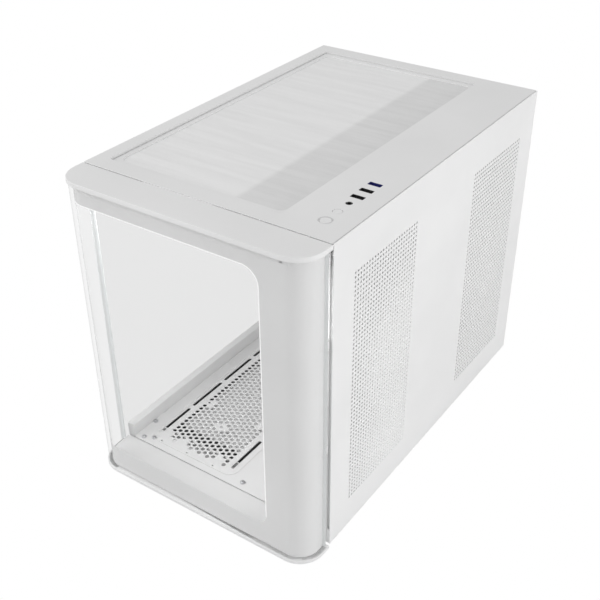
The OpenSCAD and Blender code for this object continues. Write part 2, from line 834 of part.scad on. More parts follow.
module power_button() {
    color(shade) button(power_y, power_d, ring_d, ring_z - 0.1);
}

module reset_button() {
    color(shade) button(reset_y, reset_d, reset_d + 2 * button_gap + 2 * flange_w, z1 - steel_t - 0.1);
}

// Clear ring round the power button
module power_ring() {
    color("white") translate([io_x, power_y, 0]) difference() {
        union() {
            translate([0, 0, ring_z]) cylinder(d = ring_d, h = z1 - ring_z);
            translate([0, 0, ring_z]) cylinder(d = ring_d + 2 * ring_lip, h = z1 - steel_t - ring_z);
        }
        translate([0, 0, ring_z - 1]) cylinder(d = power_d + 2 * button_gap, h = z1);
    }
}

module push_switch(y) {
    case_h = switch_h - key_h;
    color("dimgray") translate([io_x, y, pcb_top]) {
        translate([-switch_w / 2, -switch_w / 2, 0]) cube([switch_w, switch_w, case_h]);
        translate([0, 0, case_h]) cylinder(d = key_d, h = key_h);
    }
}

module power_switch() {
    push_switch(power_y);
}

module reset_switch() {
    push_switch(reset_y);
}

module audio_jack() {
    color([0.1, 0.1, 0.1]) difference() {
        union() {
            translate([io_x - jack_body.x / 2, jack_y - jack_body.y / 2, pcb_top])
                cube([jack_body.x, jack_body.y, board_down]);
            translate([io_x, jack_y, z1 - steel_t]) cylinder(d = jack_neck - 0.2, h = steel_t - 0.2);
        }
        translate([io_x, jack_y, pcb_top + 1]) cylinder(d = jack_d, h = board_down + steel_t);
    }
}

// Socket with its tongue, from the board to the underside of the top sheet
module usb_port(i) {
    in = [usb_w / 2, usb_h / 2];
    out = [in.x + usb_wall, in.y + usb_wall];
    color(i == 2 ? [0.15, 0.18, 0.5] : [0.1, 0.1, 0.1]) translate([io_x, usb_y[i], pcb_top]) {
        difference() {
            block([-out.x, -out.y, 0], [out.x, out.y, board_down]);
            block([-in.x, -in.y, 2], [in.x, in.y, board_down + 1]);
        }
        block([tongue_gap - in.x, -usb_tongue / 2 - 1, 1],
            [in.x - tongue_gap, usb_tongue / 2 - 1, board_down - 1]);
    }
}

module bottom_filter_frame() {
    color("dimgray") filter_frame(low_filter[0], low_filter[1], low_filter_z, low_wall, 1);
}

module bottom_filter_mesh() {
    lo = [low_filter[0].x + 1, low_filter[0].y + 1];
    hi = [low_filter[1].x - 1, low_filter[1].y - 1];
    color(dim) filter_mesh(lo, hi, low_filter_z - mesh_t, low_wall);
}

// Two runners under the floor, across the case, which carry the lower dust filter
module filter_guides() {
    web = 1.2;
    lip = 2.5;
    low = low_filter_z - mesh_t - loose - web;
    x = [low_filter[0].x, low_filter[1].x + loose + web];
    color(shade) for (side = [0, 1]) {
        edge = side == 0 ? low_filter[0].y - loose : low_filter[1].y + loose;
        sign = side == 0 ? 1 : -1;
        y = [min(edge, edge - sign * web), max(edge, edge - sign * web)];
        reach = [min(edge - sign * web, edge + sign * lip), max(edge - sign * web, edge + sign * lip)];
        block([x[0], y[0], low], [x[1], y[1], floor_top - steel_t]);
        block([x[0], reach[0], low], [x[1], reach[1], low + web]);
    }
}

module foot(x, y) {
    color("gainsboro") translate([x, y, pad_h]) cylinder(r = foot_r, h = floor_top - steel_t - pad_h);
}

module foot_front_left() {
    foot(-foot_x, foot_y[0]);
}

module foot_front_right() {
    foot(foot_x, foot_y[0]);
}

module foot_rear_left() {
    foot(-foot_x, foot_y[1]);
}

module foot_rear_right() {
    foot(foot_x, foot_y[1]);
}

module foot_pads() {
    color("dimgray") for (x = [-foot_x, foot_x], y = foot_y)
        translate([x, y, 0]) cylinder(r = foot_r - 1, h = pad_h);
}

chassis_floor();
floor_rail_left();
floor_rail_right();
rear_panel();
motherboard_tray();
bay_partition();
side_fan_bracket();
front_post();
rear_post();
top_frame();
top_panel();
top_filter_frame();
top_filter_mesh();
front_top_plate();
front_bottom_plate();
front_glass();
front_clips();
left_glass();
left_glass_strip_upper();
left_glass_strip_lower();
left_glass_studs();
stud_sockets();
right_side_panel();
right_panel_studs();
slot_cover(0);  // slot_cover_1
slot_cover(1);  // slot_cover_2
slot_cover(2);  // slot_cover_3
slot_cover(3);  // slot_cover_4
slot_screws();
standoffs();
cable_grommet(0);  // cable_grommet_1
cable_grommet(1);  // cable_grommet_2
cable_grommet(2);  // cable_grommet_3
drive_cage();
drive_tray(0);  // drive_tray_1
drive_tray(1);  // drive_tray_2
ssd_bracket();
psu_pads();
io_holder();
io_board();
power_button();
power_ring();
power_switch();
reset_button();
reset_switch();
audio_jack();
usb_port(0);  // usb_port_1
usb_port(1);  // usb_port_2
usb_port(2);  // usb_port_3
bottom_filter_frame();
bottom_filter_mesh();
filter_guides();
foot_front_left();
foot_front_right();
foot_rear_left();
foot_rear_right();
foot_pads();
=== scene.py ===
import json
import math

import bmesh
import bpy
from mathutils import Matrix, Vector
from mathutils.geometry import delaunay_2d_cdt


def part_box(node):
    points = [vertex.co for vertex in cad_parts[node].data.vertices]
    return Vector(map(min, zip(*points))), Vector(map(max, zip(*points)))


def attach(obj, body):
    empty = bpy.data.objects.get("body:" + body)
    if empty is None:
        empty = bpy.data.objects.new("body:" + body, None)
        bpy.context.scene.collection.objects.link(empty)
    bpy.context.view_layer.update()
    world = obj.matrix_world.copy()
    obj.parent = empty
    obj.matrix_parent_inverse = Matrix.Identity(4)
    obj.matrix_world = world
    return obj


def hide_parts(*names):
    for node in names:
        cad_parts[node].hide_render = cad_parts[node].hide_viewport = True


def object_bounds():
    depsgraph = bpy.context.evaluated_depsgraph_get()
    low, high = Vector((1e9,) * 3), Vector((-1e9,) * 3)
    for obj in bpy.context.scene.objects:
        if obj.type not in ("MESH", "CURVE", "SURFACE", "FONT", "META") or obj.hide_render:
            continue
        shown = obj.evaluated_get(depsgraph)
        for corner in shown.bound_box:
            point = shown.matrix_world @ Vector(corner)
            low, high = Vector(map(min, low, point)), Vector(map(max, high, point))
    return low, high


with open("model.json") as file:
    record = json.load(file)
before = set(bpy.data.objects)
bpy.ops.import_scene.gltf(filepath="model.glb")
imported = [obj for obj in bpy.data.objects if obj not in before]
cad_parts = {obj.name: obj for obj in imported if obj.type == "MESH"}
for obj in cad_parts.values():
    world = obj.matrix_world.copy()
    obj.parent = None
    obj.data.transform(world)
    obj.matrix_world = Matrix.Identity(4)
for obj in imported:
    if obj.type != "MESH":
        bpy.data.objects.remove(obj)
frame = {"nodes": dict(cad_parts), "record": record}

CAD_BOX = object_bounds()
MM = 0.001

# ---------------------------------------------------------------- places, in mm, worked out from the frame


def box_mm(node):
    """A CAD node's low and high corners."""
    lo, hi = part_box(node)
    return lo / MM, hi / MM


def middle(node):
    lo, hi = box_mm(node)
    return (lo + hi) / 2


def opening(name):
    """A stated opening's low and high corners."""
    for stated in frame["record"]["physics"]["openings"]:
        if stated["name"] == name:
            lo, hi = stated["box_m"]
            return Vector(lo) / MM, Vector(hi) / MM
    raise KeyError(name)


def mount(name):
    for stated in frame["record"]["mounts"]:
        if stated["name"] == name:
            return Vector(stated["pos_m"]) / MM
    raise KeyError(name)


LEFT, FRONT = CAD_BOX[0].x / MM, CAD_BOX[0].y / MM
RIGHT, BACK = CAD_BOX[1].x / MM, CAD_BOX[1].y / MM
PANEL_LO, PANEL_HI = box_mm("right_side_panel")
LOW, HIGH = PANEL_LO.z, PANEL_HI.z      # lower and upper edges of the case's body
SEAM_Y = PANEL_LO.y                     # the panels' front edge, behind the front module
GLASS_LO, GLASS_HI = box_mm("front_glass")
GLASS_INSET = GLASS_LO.x - LEFT
GLASS_T = 4.0
STEEL_T = 1.0
CORNER_R = 28.0                         # the front module's corners, seen from above
FAN = 120.0
FAN_HOLES, FAN_HOLE_R = 105.0, 2.25     # distance between a fan's screw holes, and their radius
LAP = 0.1                               # how far neighbouring sheets run into each other
SHEET_SMOOTH, ROUND_SMOOTH, BOX_SMOOTH = 30, 35, 40     # edges sharper than this, in degrees, stay sharp

# ---------------------------------------------------------------- outlines, as lists of (u, v) points


def circle(cx, cy, r, n):
    turns = [2 * math.pi * k / n for k in range(n)]
    return [(cx + r * math.cos(a), cy + r * math.sin(a)) for a in turns]


def arc(cx, cy, r, a0, a1, n):
    """Points from angle a0 to a1, in degrees, in n steps."""
    turns = [math.radians(a0 + (a1 - a0) * k / n) for k in range(n + 1)]
    return [(cx + r * math.cos(a), cy + r * math.sin(a)) for a in turns]


def round_rect(u0, v0, u1, v1, r, n=6):
    """A rectangle with round corners, anticlockwise."""
    corners = [(u1 - r, v0 + r, -90), (u1 - r, v1 - r, 0), (u0 + r, v1 - r, 90), (u0 + r, v0 + r, 180)]
    points = []
    for cu, cv, a in corners:
        points += arc(cu, cv, r, a, a + 90, n)
    return points


def rect(u0, v0, u1, v1, r=0.0):
    """An outline for sheet(): a rectangle, with round corners where r is given."""
    if r == 0:
        return lambda i: [(u0 + i, v0 + i), (u1 - i, v0 + i), (u1 - i, v1 - i), (u0 + i, v1 - i)]
    return lambda i: round_rect(u0 + i, v0 + i, u1 - i, v1 - i, r - i)


def cutout(u0, v0, u1, v1, r=1.0):
    """A rectangular opening with small round corners."""
    return round_rect(u0, v0, u1, v1, r, 4)


def slot(cu, cv, size_u, size_v):
    """A round-ended slot along its longer size."""
    r = min(size_u, size_v) / 2 - 0.001
    return round_rect(cu - size_u / 2, cv - size_v / 2, cu + size_u / 2, cv + size_v / 2, r)


def four(cu, cv, size_u, size_v, r):
    """Four screw holes at the corners of a rectangle."""
    return [circle(cu + a * size_u / 2, cv + b * size_v / 2, r, 16) for a in (-1, 1) for b in (-1, 1)]


def hex_grid(u0, v0, u1, v1, pitch, r, keep):
    """Round openings on a staggered grid, centred in a rectangle, where keep(u, v) allows them."""
    step = pitch * math.cos(math.radians(30))
    cols = int((u1 - u0 - 2 * r) / step) + 1
    rows = int((v1 - v0 - 2 * r - pitch / 2) / pitch) + 1
    first_u = u0 + (u1 - u0 - (cols - 1) * step) / 2
    first_v = v0 + (v1 - v0 - (rows - 0.5) * pitch) / 2
    spots = [(first_u + i * step, first_v + (j + (i % 2) / 2) * pitch)
             for i in range(cols) for j in range(rows)]
    return [circle(u, v, r, 10) for u, v in spots if keep(u, v)]


def square_grid(u0, v0, u1, v1, pitch, r):
    """Round openings on a square grid, centred in a rectangle."""
    cols = int((u1 - u0 - 2 * r) / pitch) + 1
    rows = int((v1 - v0 - 2 * r) / pitch) + 1
    first_u = u0 + (u1 - u0 - (cols - 1) * pitch) / 2
    first_v = v0 + (v1 - v0 - (rows - 1) * pitch) / 2
    return [circle(first_u + i * pitch, first_v + j * pitch, r, 8) for i in range(cols) for j in range(rows)]


def opening_hole(name, axes, grow, r=1.5):
    """The hole that a stated opening, grown all round, cuts in a sheet. axes picks the sheet's u and v."""
    lo, hi = opening(name)
    a, b = axes
    return cutout(lo[a] - grow, lo[b] - grow, hi[a] + grow, hi[b] + grow, r)


# ---------------------------------------------------------------- how a sheet lies in the frame


def level_at(z):
    """Flat, its outer face up at height z. Each of these three says where a sheet's (u, v, depth) goes."""
    return lambda u, v, depth: (u, v, z - depth)


def across_x(x, way):
    """Upright, u along Y and v up, its outer face at x. way is 1 or -1: where its thickness goes."""
    return lambda u, v, depth: (x + way * depth, u, v)


def across_y(y, way):
    """Upright, u along X and v up, its outer face at y."""
    return lambda u, v, depth: (u, y + way * depth, v)


# ---------------------------------------------------------------- meshes


def finish_mesh(name, mesh, smooth_deg, material):
    mesh.validate()
    mesh.shade_smooth()
    mesh.set_sharp_from_angle(angle=math.radians(smooth_deg))
    mesh.materials.append(material)
    obj = bpy.data.objects.new(name, mesh)
    bpy.context.scene.collection.objects.link(obj)
    return obj


def from_points(name, verts, faces, smooth_deg, material):
    mesh = bpy.data.meshes.new(name)
    mesh.from_pydata([Vector(v) * MM for v in verts], [], faces)
    return finish_mesh(name, mesh, smooth_deg, material)


def from_bmesh(name, bm, smooth_deg, material):
    mesh = bpy.data.meshes.new(name)
    bmesh.ops.recalc_face_normals(bm, faces=bm.faces)
    bm.to_mesh(mesh)
    bm.free()
    return finish_mesh(name, mesh, smooth_deg, material)


def sheet(name, outer, holes, t, place, material, bevel, folds=()):
    """A sheet of thickness t with true openings. outer(inset) gives its outline, anticlockwise, and
    place(u, v, depth) puts a point in the frame. folds are lines along which the sheet can bend; they end
    exactly on the outline."""
    rim, full = outer(bevel), outer(0)
    points = [Vector(p) for p in rim]
    loops = [list(range(len(rim)))]
    for hole in holes:
        loops.append(list(range(len(points), len(points) + len(hole))))
        points += [Vector(p) for p in hole]
    edges = []
    for a, b in folds:
        edges.append((len(points), len(points) + 1))
        points += [Vector(a), Vector(b)]
    flat, _, triangles, sources, _, inside = delaunay_2d_cdt(points, edges, loops, 0, 1e-5, True)
    kept = [tri for tri, of_loops in zip(triangles, inside) if list(of_loops) == [0]]
    n = len(flat)
    verts = [place(v.x, v.y, 0) for v in flat] + [place(v.x, v.y, t) for v in flat]
    faces = [tuple(tri) for tri in kept] + [tuple(n + i for i in reversed(tri)) for tri in kept]
    sides = [pair for tri in kept for pair in zip(tri, tri[1:] + tri[:1])]
    known = set(sides)
    border = [(a, b) for a, b in sides if (b, a) not in known]
    bevelled = {}
    if bevel:
        on_rim = {i: full[k] for i, source in enumerate(sources) for k in source if k < len(rim)}
        for i, (u, v) in on_rim.items():
            bevelled[i] = (len(verts), len(verts) + 1)
            verts += [place(u, v, bevel), place(u, v, t - bevel)]
    for a, b in border:
        if a in bevelled and b in bevelled:
            a_near, a_far = bevelled[a]
            b_near, b_far = bevelled[b]
            faces += [(b, a, a_near, b_near), (b_near, a_near, a_far, b_far), (b_far, a_far, n + a, n + b)]
        else:
            faces.append((b, a, n + a, n + b))
    mesh = bpy.data.meshes.new(name)
    mesh.from_pydata([Vector(v) * MM for v in verts], [], faces)
    mesh.validate()
    bm = bmesh.new()
    bm.from_mesh(mesh)
    bpy.data.meshes.remove(mesh)
    return from_bmesh(name, bm, SHEET_SMOOTH, material)


def skin(first, rows, n, closed=False):
    """Faces that join each row of n points to the next, and caps unless the rows close on themselves.
    first is the number of the first point."""
    faces = []
    for k in range(rows if closed else rows - 1):
        low, high = first + k * n, first + (k + 1) % rows * n
        faces += [(low + i, low + (i + 1) % n, high + (i + 1) % n, high + i) for i in range(n)]
    if not closed:
        last = first + (rows - 1) * n
        faces.append(tuple(first + i for i in reversed(range(n))))
        faces.append(tuple(last + i for i in range(n)))
    return faces


def loft(name, rings, material):
    """A closed solid through rings of points with the same count."""
    verts = [p for ring in rings for p in ring]
    return from_points(name, verts, skin(0, len(rings), len(rings[0])), ROUND_SMOOTH, material)


def lathe(name, spots, profile, material, n=48):
    """Upright solids of revolution at each spot. The profile is (radius, height) from bottom to top, or a
    closed loop, which makes a ring."""
    closed = profile[0] == profile[-1]
    rows = profile[:-1] if closed else profile
    turns = [2 * math.pi * k / n for k in range(n)]
    verts, faces = [], []
    for cx, cy, cz in spots:
        faces += skin(len(verts), len(rows), n, closed)
        verts += [(cx + r * math.cos(a), cy + r * math.sin(a), cz + h) for r, h in rows for a in turns]
    return from_points(name, verts, faces, ROUND_SMOOTH, material)


def add_box(bm, lo, hi, bevel, segments):
    made = bmesh.ops.create_cube(bm, size=1.0)
    size = [hi[k] - lo[k] for k in range(3)]
    mid = [(hi[k] + lo[k]) / 2 for k in range(3)]
    for v in made["verts"]:
        v.co = Vector([(mid[k] + v.co[k] * size[k]) * MM for k in range(3)])
    width = min(bevel, 0.4 * min(size))
    edges = list({e for v in made["verts"] for e in v.link_edges})
    bmesh.ops.bevel(bm, geom=edges, offset=width * MM, segments=segments, profile=0.5, affect="EDGES")


def boxes(name, parts, material, bevel=0.3, segments=2):
    """Boxes with rounded edges as one piece, each given by its low and high corners."""
    bm = bmesh.new()
    for lo, hi in parts:
        add_box(bm, lo, hi, bevel, segments)
    return from_bmesh(name, bm, BOX_SMOOTH, material)


def softened(name, node, material, width):
    """A copy of a CAD node's mesh with rounded edges."""
    bm = bmesh.new()
    bm.from_mesh(frame["nodes"][node].data)
    bmesh.ops.remove_doubles(bm, verts=bm.verts, dist=1e-6)
    bmesh.ops.dissolve_limit(bm, angle_limit=math.radians(1), verts=bm.verts, edges=bm.edges)
    sharp_angle = math.radians(BOX_SMOOTH)
    sharp = [e for e in bm.edges if len(e.link_faces) == 2 and e.calc_face_angle(0) > sharp_angle]
    bmesh.ops.bevel(bm, geom=sharp, offset=width * MM, segments=2, profile=0.5, affect="EDGES",
                    clamp_overlap=True)
    return from_bmesh(name, bm, BOX_SMOOTH, material)


# ---------------------------------------------------------------- materials


def principled(name, color, roughness, metallic=0.0):
    mat = bpy.data.materials.new(name)
    mat.use_nodes = True
    nodes = mat.node_tree.nodes
    bsdf = nodes["Principled BSDF"]
    bsdf.inputs["Base Color"].default_value = (*color, 1)
    bsdf.inputs["Roughness"].default_value = roughness
    bsdf.inputs["Metallic"].default_value = metallic
    return mat, nodes, mat.node_tree.links, bsdf


def noise(nodes, links, scale, detail=3.0, stretch=(1, 1, 1)):
    where = nodes.new("ShaderNodeTexCoord")
    mapping = nodes.new("ShaderNodeMapping")
    mapping.inputs["Scale"].default_value = stretch
    tex = nodes.new("ShaderNodeTexNoise")
    tex.inputs["Scale"].default_value = scale
    tex.inputs["Detail"].default_value = detail
    links.new(where.outputs["Object"], mapping.inputs["Vector"])
    links.new(mapping.outputs["Vector"], tex.inputs["Vector"])
    return tex.outputs["Fac"]


def ramp(nodes, links, value, low, high, a=0.35, b=0.65):
    """Turns a value, between a and b, into a colour or a grey level between low and high."""
    node = nodes.new("ShaderNodeValToRGB")
    node.color_ramp.elements[0].position = a
    node.color_ramp.elements[1].position = b
    node.color_ramp.elements[0].color = (*low, 1) if isinstance(low, tuple) else (low, low, low, 1)
    node.color_ramp.elements[1].color = (*high, 1) if isinstance(high, tuple) else (high, high, high, 1)
    links.new(value, node.inputs["Fac"])
    return node.outputs["Color"]


def bump(nodes, links, bsdf, value, strength, distance):
    node = nodes.new("ShaderNodeBump")
    node.inputs["Strength"].default_value = strength
    node.inputs["Distance"].default_value = distance
    links.new(value, node.inputs["Height"])
    links.new(node.outputs["Normal"], bsdf.inputs["Normal"])


def math_node(nodes, links, operation, a, b):
    """A shader math node that applies the operation to two values, each a number or another node's output.
    """
    node = nodes.new("ShaderNodeMath")
    node.operation = operation
    for k, value in enumerate((a, b)):
        if isinstance(value, float):
            node.inputs[k].default_value = value
        else:
            links.new(value, node.inputs[k])
    return node.outputs["Value"]


def mix_shaders(nodes, links, share, first, second):
    """The material's surface: the first shader, with the given share of the second."""
    mix = nodes.new("ShaderNodeMixShader")
    links.new(share, mix.inputs["Fac"])
    links.new(first, mix.inputs[1])
    links.new(second, mix.inputs[2])
    links.new(mix.outputs["Shader"], nodes["Material Output"].inputs["Surface"])


def coated(name, color, roughness, grain, depth, spread=0.02, stretch=(1, 1, 1), metallic=0.0):
    """Paint, metal or moulded plastic: slight colour drift, uneven gloss and a fine surface grain."""
    drift_scale, drift_detail, grain_detail, grain_strength = 9.0, 4.0, 2.0, 0.25
    glossier, duller = 0.05, 0.06
    mat, nodes, links, bsdf = principled(name, color, roughness, metallic)
    drift = noise(nodes, links, drift_scale, drift_detail)
    low = tuple(c * (1 - spread) for c in color)
    high = tuple(min(1.0, c * (1 + spread)) for c in color)
    links.new(ramp(nodes, links, drift, low, high), bsdf.inputs["Base Color"])
    fine = noise(nodes, links, grain, grain_detail, stretch)
    gloss = ramp(nodes, links, fine, roughness - glossier, roughness + duller)
    links.new(gloss, bsdf.inputs["Roughness"])
    bump(nodes, links, bsdf, fine, grain_strength, depth)
    return mat


def edge_with_painted_glow(name, color, painted_glow):
    """A ground or printed edge, paint-like, with a little emission of its own as a painted highlight."""
    roughness, grain, depth = 0.3, 1200.0, 0.00001
    mat = coated(name, color, roughness, grain, depth)
    bsdf = mat.node_tree.nodes["Principled BSDF"]
    bsdf.inputs["Emission Color"].default_value = (1, 1, 1, 1)
    bsdf.inputs["Emission Strength"].default_value = painted_glow
    return mat


def glass_material(name, tint):
    """Clear glass: each face lets the tint's share straight through, and a face seen from outside mirrors
    more at a slant."""
    mirror_color, polished, smeared = (0.55, 0.57, 0.57), 0.015, 0.04
    glass_ior, mirror_ior = 1.5, 1.2
    mat, nodes, links, bsdf = principled(name, mirror_color, polished)
    bsdf.inputs["IOR"].default_value = glass_ior
    smear = noise(nodes, links, 14.0, 5.0)
    links.new(ramp(nodes, links, smear, polished, smeared), bsdf.inputs["Roughness"])
    clear = nodes.new("ShaderNodeBsdfTransparent")
    clear.inputs["Color"].default_value = (tint, tint, tint, 1)
    mirror = nodes.new("ShaderNodeFresnel")
    mirror.inputs["IOR"].default_value = mirror_ior
    side = nodes.new("ShaderNodeNewGeometry")
    outer_side = math_node(nodes, links, "SUBTRACT", 1.0, side.outputs["Backfacing"])
    share = math_node(nodes, links, "MULTIPLY", mirror.outputs["Fac"], outer_side)
    mix_shaders(nodes, links, share, clear.outputs["BSDF"], bsdf.outputs["BSDF"])
    return mat


def band(nodes, links, axis, middle_at, reach, soft=0.003):
    """1 beyond the given distance, in metres, from a plane across the axis, and 0 nearer to it."""
    place = nodes.new("ShaderNodeTexCoord")
    split = nodes.new("ShaderNodeSeparateXYZ")
    links.new(place.outputs["Object"], split.inputs["Vector"])
    away = math_node(nodes, links, "SUBTRACT", split.outputs[axis], middle_at)
    size = nodes.new("ShaderNodeMath")
    size.operation = "ABSOLUTE"
    links.new(away, size.inputs[0])
    step = nodes.new("ShaderNodeMapRange")
    step.inputs["From Min"].default_value = reach - soft
    step.inputs["From Max"].default_value = reach + soft
    links.new(size.outputs["Value"], step.inputs["Value"])
    return step.outputs["Result"]


def mesh_material(name, light, shade=None):
    """Fine white netting, partly see-through. shade is (tone, axis, middle, reach): beyond that reach its
    colour is painted darker, a painted shade for the little light that gets in behind it."""
    mat, nodes, links, bsdf = principled(name, (0.86, 0.86, 0.86), 0.6)
    along_x = (0.25, 3.0, 1)
    thread_scale = 220.0
    below, above = 0.03, 0.02
    streaks = noise(nodes, links, 40.0, 4.0, along_x)
    tone = ramp(nodes, links, streaks, light - below, light + above)
    if shade:
        # painted shade: beyond the reach along the axis, the netting's colour is mixed to the darker tone
        dark, *where = shade
        painted_shade_mix = nodes.new("ShaderNodeMix")
        painted_shade_mix.data_type = "RGBA"
        links.new(tone, painted_shade_mix.inputs["A"])
        links.new(ramp(nodes, links, streaks, dark - below, dark + above), painted_shade_mix.inputs["B"])
        links.new(band(nodes, links, *where), painted_shade_mix.inputs["Factor"])
        tone = painted_shade_mix.outputs["Result"]
    links.new(tone, bsdf.inputs["Base Color"])
    place = nodes.new("ShaderNodeTexCoord")
    threads = []
    for axis in ("X", "Y"):
        wave = nodes.new("ShaderNodeTexWave")
        wave.bands_direction = axis
        wave.inputs["Scale"].default_value = thread_scale
        links.new(place.outputs["Object"], wave.inputs["Vector"])
        threads.append(wave.outputs["Fac"])
    weave = math_node(nodes, links, "MAXIMUM", *threads)
    bump(nodes, links, bsdf, weave, 0.3, 0.00005)
    clear = nodes.new("ShaderNodeBsdfTransparent")
    solid = ramp(nodes, links, weave, 0.8, 0.97, 0.3, 0.9)
    mix_shaders(nodes, links, solid, clear.outputs["BSDF"], bsdf.outputs["BSDF"])
    return mat


# colour, roughness, grain's scale, grain's depth in metres, then colour spread, grain's stretch and metallic
COATS = {
    "white_steel": ((0.86, 0.86, 0.86), 0.42, 1600.0, 0.00004),
    "white_cover_steel": ((0.84, 0.84, 0.84), 0.42, 1600.0, 0.00004),
    "white_plastic": ((0.86, 0.86, 0.86), 0.32, 2400.0, 0.00002),
    "ring_plastic": ((0.74, 0.74, 0.74), 0.25, 2400.0, 0.00001),
    "white_print": ((0.90, 0.90, 0.90), 0.12, 2600.0, 0.00001),
    "plain_steel": ((0.60, 0.60, 0.62), 0.28, 700.0, 0.00002, 0.05, (1, 1, 12), 1.0),
    "brass": ((0.72, 0.53, 0.22), 0.3, 900.0, 0.00001, 0.05, (1, 1, 1), 1.0),
    "black_rubber": ((0.035, 0.035, 0.035), 0.75, 1500.0, 0.00006, 0.1),
    "grey_plastic": ((0.55, 0.55, 0.55), 0.5, 1500.0, 0.00004),
    "board": ((0.03, 0.16, 0.07), 0.35, 600.0, 0.00002, 0.1),
    "black_plastic": ((0.012, 0.012, 0.013), 0.4, 1500.0, 0.00003, 0.1),
    "blue_plastic": ((0.012, 0.016, 0.14), 0.4, 1500.0, 0.00003, 0.1),
}
MAT = {name: coated(name, *coat) for name, coat in COATS.items()}
# the glass's ground edges and the window's printed rim glow a little: painted highlight
MAT["glass_edge"] = edge_with_painted_glow("glass_edge", (0.80, 0.82, 0.82), 0.08)
MAT["print_rim"] = edge_with_painted_glow("print_rim", (0.95, 0.95, 0.95), 0.3)
MAT["clear_glass"] = glass_material("clear_glass", 0.968)
MAT["side_glass"] = glass_material("side_glass", 0.93)
MAT["filter_mesh"] = mesh_material("filter_mesh", 0.92)
# netting top with painted shade: darker beyond 147 mm from x = -126 mm, that is right of x = 21 mm
MAT["top_mesh"] = mesh_material("top_mesh", 0.96, (0.84, "X", -0.126, 0.147))
SLOT = {part["node"]: part["material_slot"] for part in frame["record"]["subparts"]}
BODY = {node: body for body, nodes in frame["record"]["behaviour"]["bodies"].items() for node in nodes}


def place_piece(obj, node):
    """The piece takes the place of a CAD node: it rides with the node's body, and the node is hidden."""
    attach(obj, BODY[node])
    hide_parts(node)


def add_piece(obj, beside):
    """A piece with no CAD node of its own, on the body of the node beside it."""
    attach(obj, BODY[beside])


for node_name, cad_obj in frame["nodes"].items():
    cad_obj.data.materials.clear()
    cad_obj.data.materials.append(MAT[SLOT[node_name]])
    cad_obj.data.polygons.foreach_set("material_index", [0] * len(cad_obj.data.polygons))

# ---------------------------------------------------------------- camera and light

AZIMUTH, ELEVATION, ROLL = 34.83, 32.94, -0.41
LENS = 57.64
CAMERA_AT = Vector((507.7, -762.2, 748.6)) * MM


def make_camera():
    a, e, r = math.radians(AZIMUTH), math.radians(ELEVATION), math.radians(ROLL)
    back = Vector((math.sin(a) * math.cos(e), -math.cos(a) * math.cos(e), math.sin(e)))
    right = (-back).cross(Vector((0, 0, 1))).normalized()
    up = back.cross(right)
    right, up = right * math.cos(r) + up * math.sin(r), up * math.cos(r) - right * math.sin(r)
    data = bpy.data.cameras.new("camera")
    data.lens = LENS
    data.sensor_width = 36.0
    data.clip_start, data.clip_end = 0.01, 50.0
    cam = bpy.data.objects.new("camera", data)
    cam.matrix_world = Matrix((right, up, back)).transposed().to_4x4()
    cam.location = CAMERA_AT
    bpy.context.scene.collection.objects.link(cam)
    bpy.context.scene.camera = cam


def area_light(name, at, target, size, power):
    data = bpy.data.lights.new(name, "AREA")
    data.shape = "RECTANGLE"
    data.size, data.size_y = size
    data.energy = power
    obj = bpy.data.objects.new(name, data)
    obj.location = at
    obj.rotation_mode = "QUATERNION"
    obj.rotation_quaternion = (Vector(target) - Vector(at)).to_track_quat("-Z", "Y")
    obj.visible_camera = False
    bpy.context.scene.collection.objects.link(obj)


def make_world(level_light, overhead_light):
    """White room: the camera sees pure white. Other rays get level_light from the sides and from below, and
    up to overhead_light from above."""
    world = bpy.data.worlds.new("studio")
    bpy.context.scene.world = world
    world.use_nodes = True
    nodes, links = world.node_tree.nodes, world.node_tree.links
    back = nodes["Background"]
    back.inputs["Color"].default_value = (1, 1, 1, 1)
    where = nodes.new("ShaderNodeTexCoord")
    split = nodes.new("ShaderNodeSeparateXYZ")
    links.new(where.outputs["Generated"], split.inputs["Vector"])
    room = nodes.new("ShaderNodeMapRange")
    room.inputs["From Min"].default_value = 0.0
    room.inputs["To Min"].default_value = level_light
    room.inputs["To Max"].default_value = overhead_light
    links.new(split.outputs["Z"], room.inputs["Value"])
    path = nodes.new("ShaderNodeLightPath")
    strength = nodes.new("ShaderNodeMix")
    strength.inputs["B"].default_value = 1.0
    links.new(path.outputs["Is Camera Ray"], strength.inputs["Factor"])
    links.new(room.outputs["Result"], strength.inputs["A"])
    links.new(strength.outputs["Result"], back.inputs["Strength"])


def make_floor():
    """Pale floor: it throws light back on the case like paper, and the camera sees it as plain white, but
    for the painted shadow, a soft grey patch right under the case."""
    half_w, half_d, soft, shade = 0.095, 0.18, 0.03, 0.3
    mat, nodes, links, bsdf = principled("pale_floor", (0.8, 0.8, 0.8), 0.6)
    drift = noise(nodes, links, 3.0)
    links.new(ramp(nodes, links, drift, 0.80, 0.82), bsdf.inputs["Base Color"])
    # painted shadow: grey within the case's footprint, fading to white over soft
    beside = band(nodes, links, "X", 0.0, half_w, soft)
    beyond = band(nodes, links, "Y", 0.0, half_d, soft)
    around = math_node(nodes, links, "MAXIMUM", beside, beyond)
    white = nodes.new("ShaderNodeEmission")
    links.new(ramp(nodes, links, around, shade, 1.0, 0.0, 1.0), white.inputs["Color"])
    white.inputs["Strength"].default_value = 1.0
    path = nodes.new("ShaderNodeLightPath")
    mix_shaders(nodes, links, path.outputs["Is Camera Ray"], bsdf.outputs["BSDF"], white.outputs["Emission"])
    size = 6.0
    corners = [(-size, -size, 0), (size, -size, 0), (size, size, 0), (-size, size, 0)]
    mesh = bpy.data.meshes.new("floor")
    mesh.from_pydata(corners, [], [(0, 1, 2, 3)])
    mesh.materials.append(mat)
    obj = bpy.data.objects.new("floor", mesh)
    bpy.context.scene.collection.objects.link(obj)


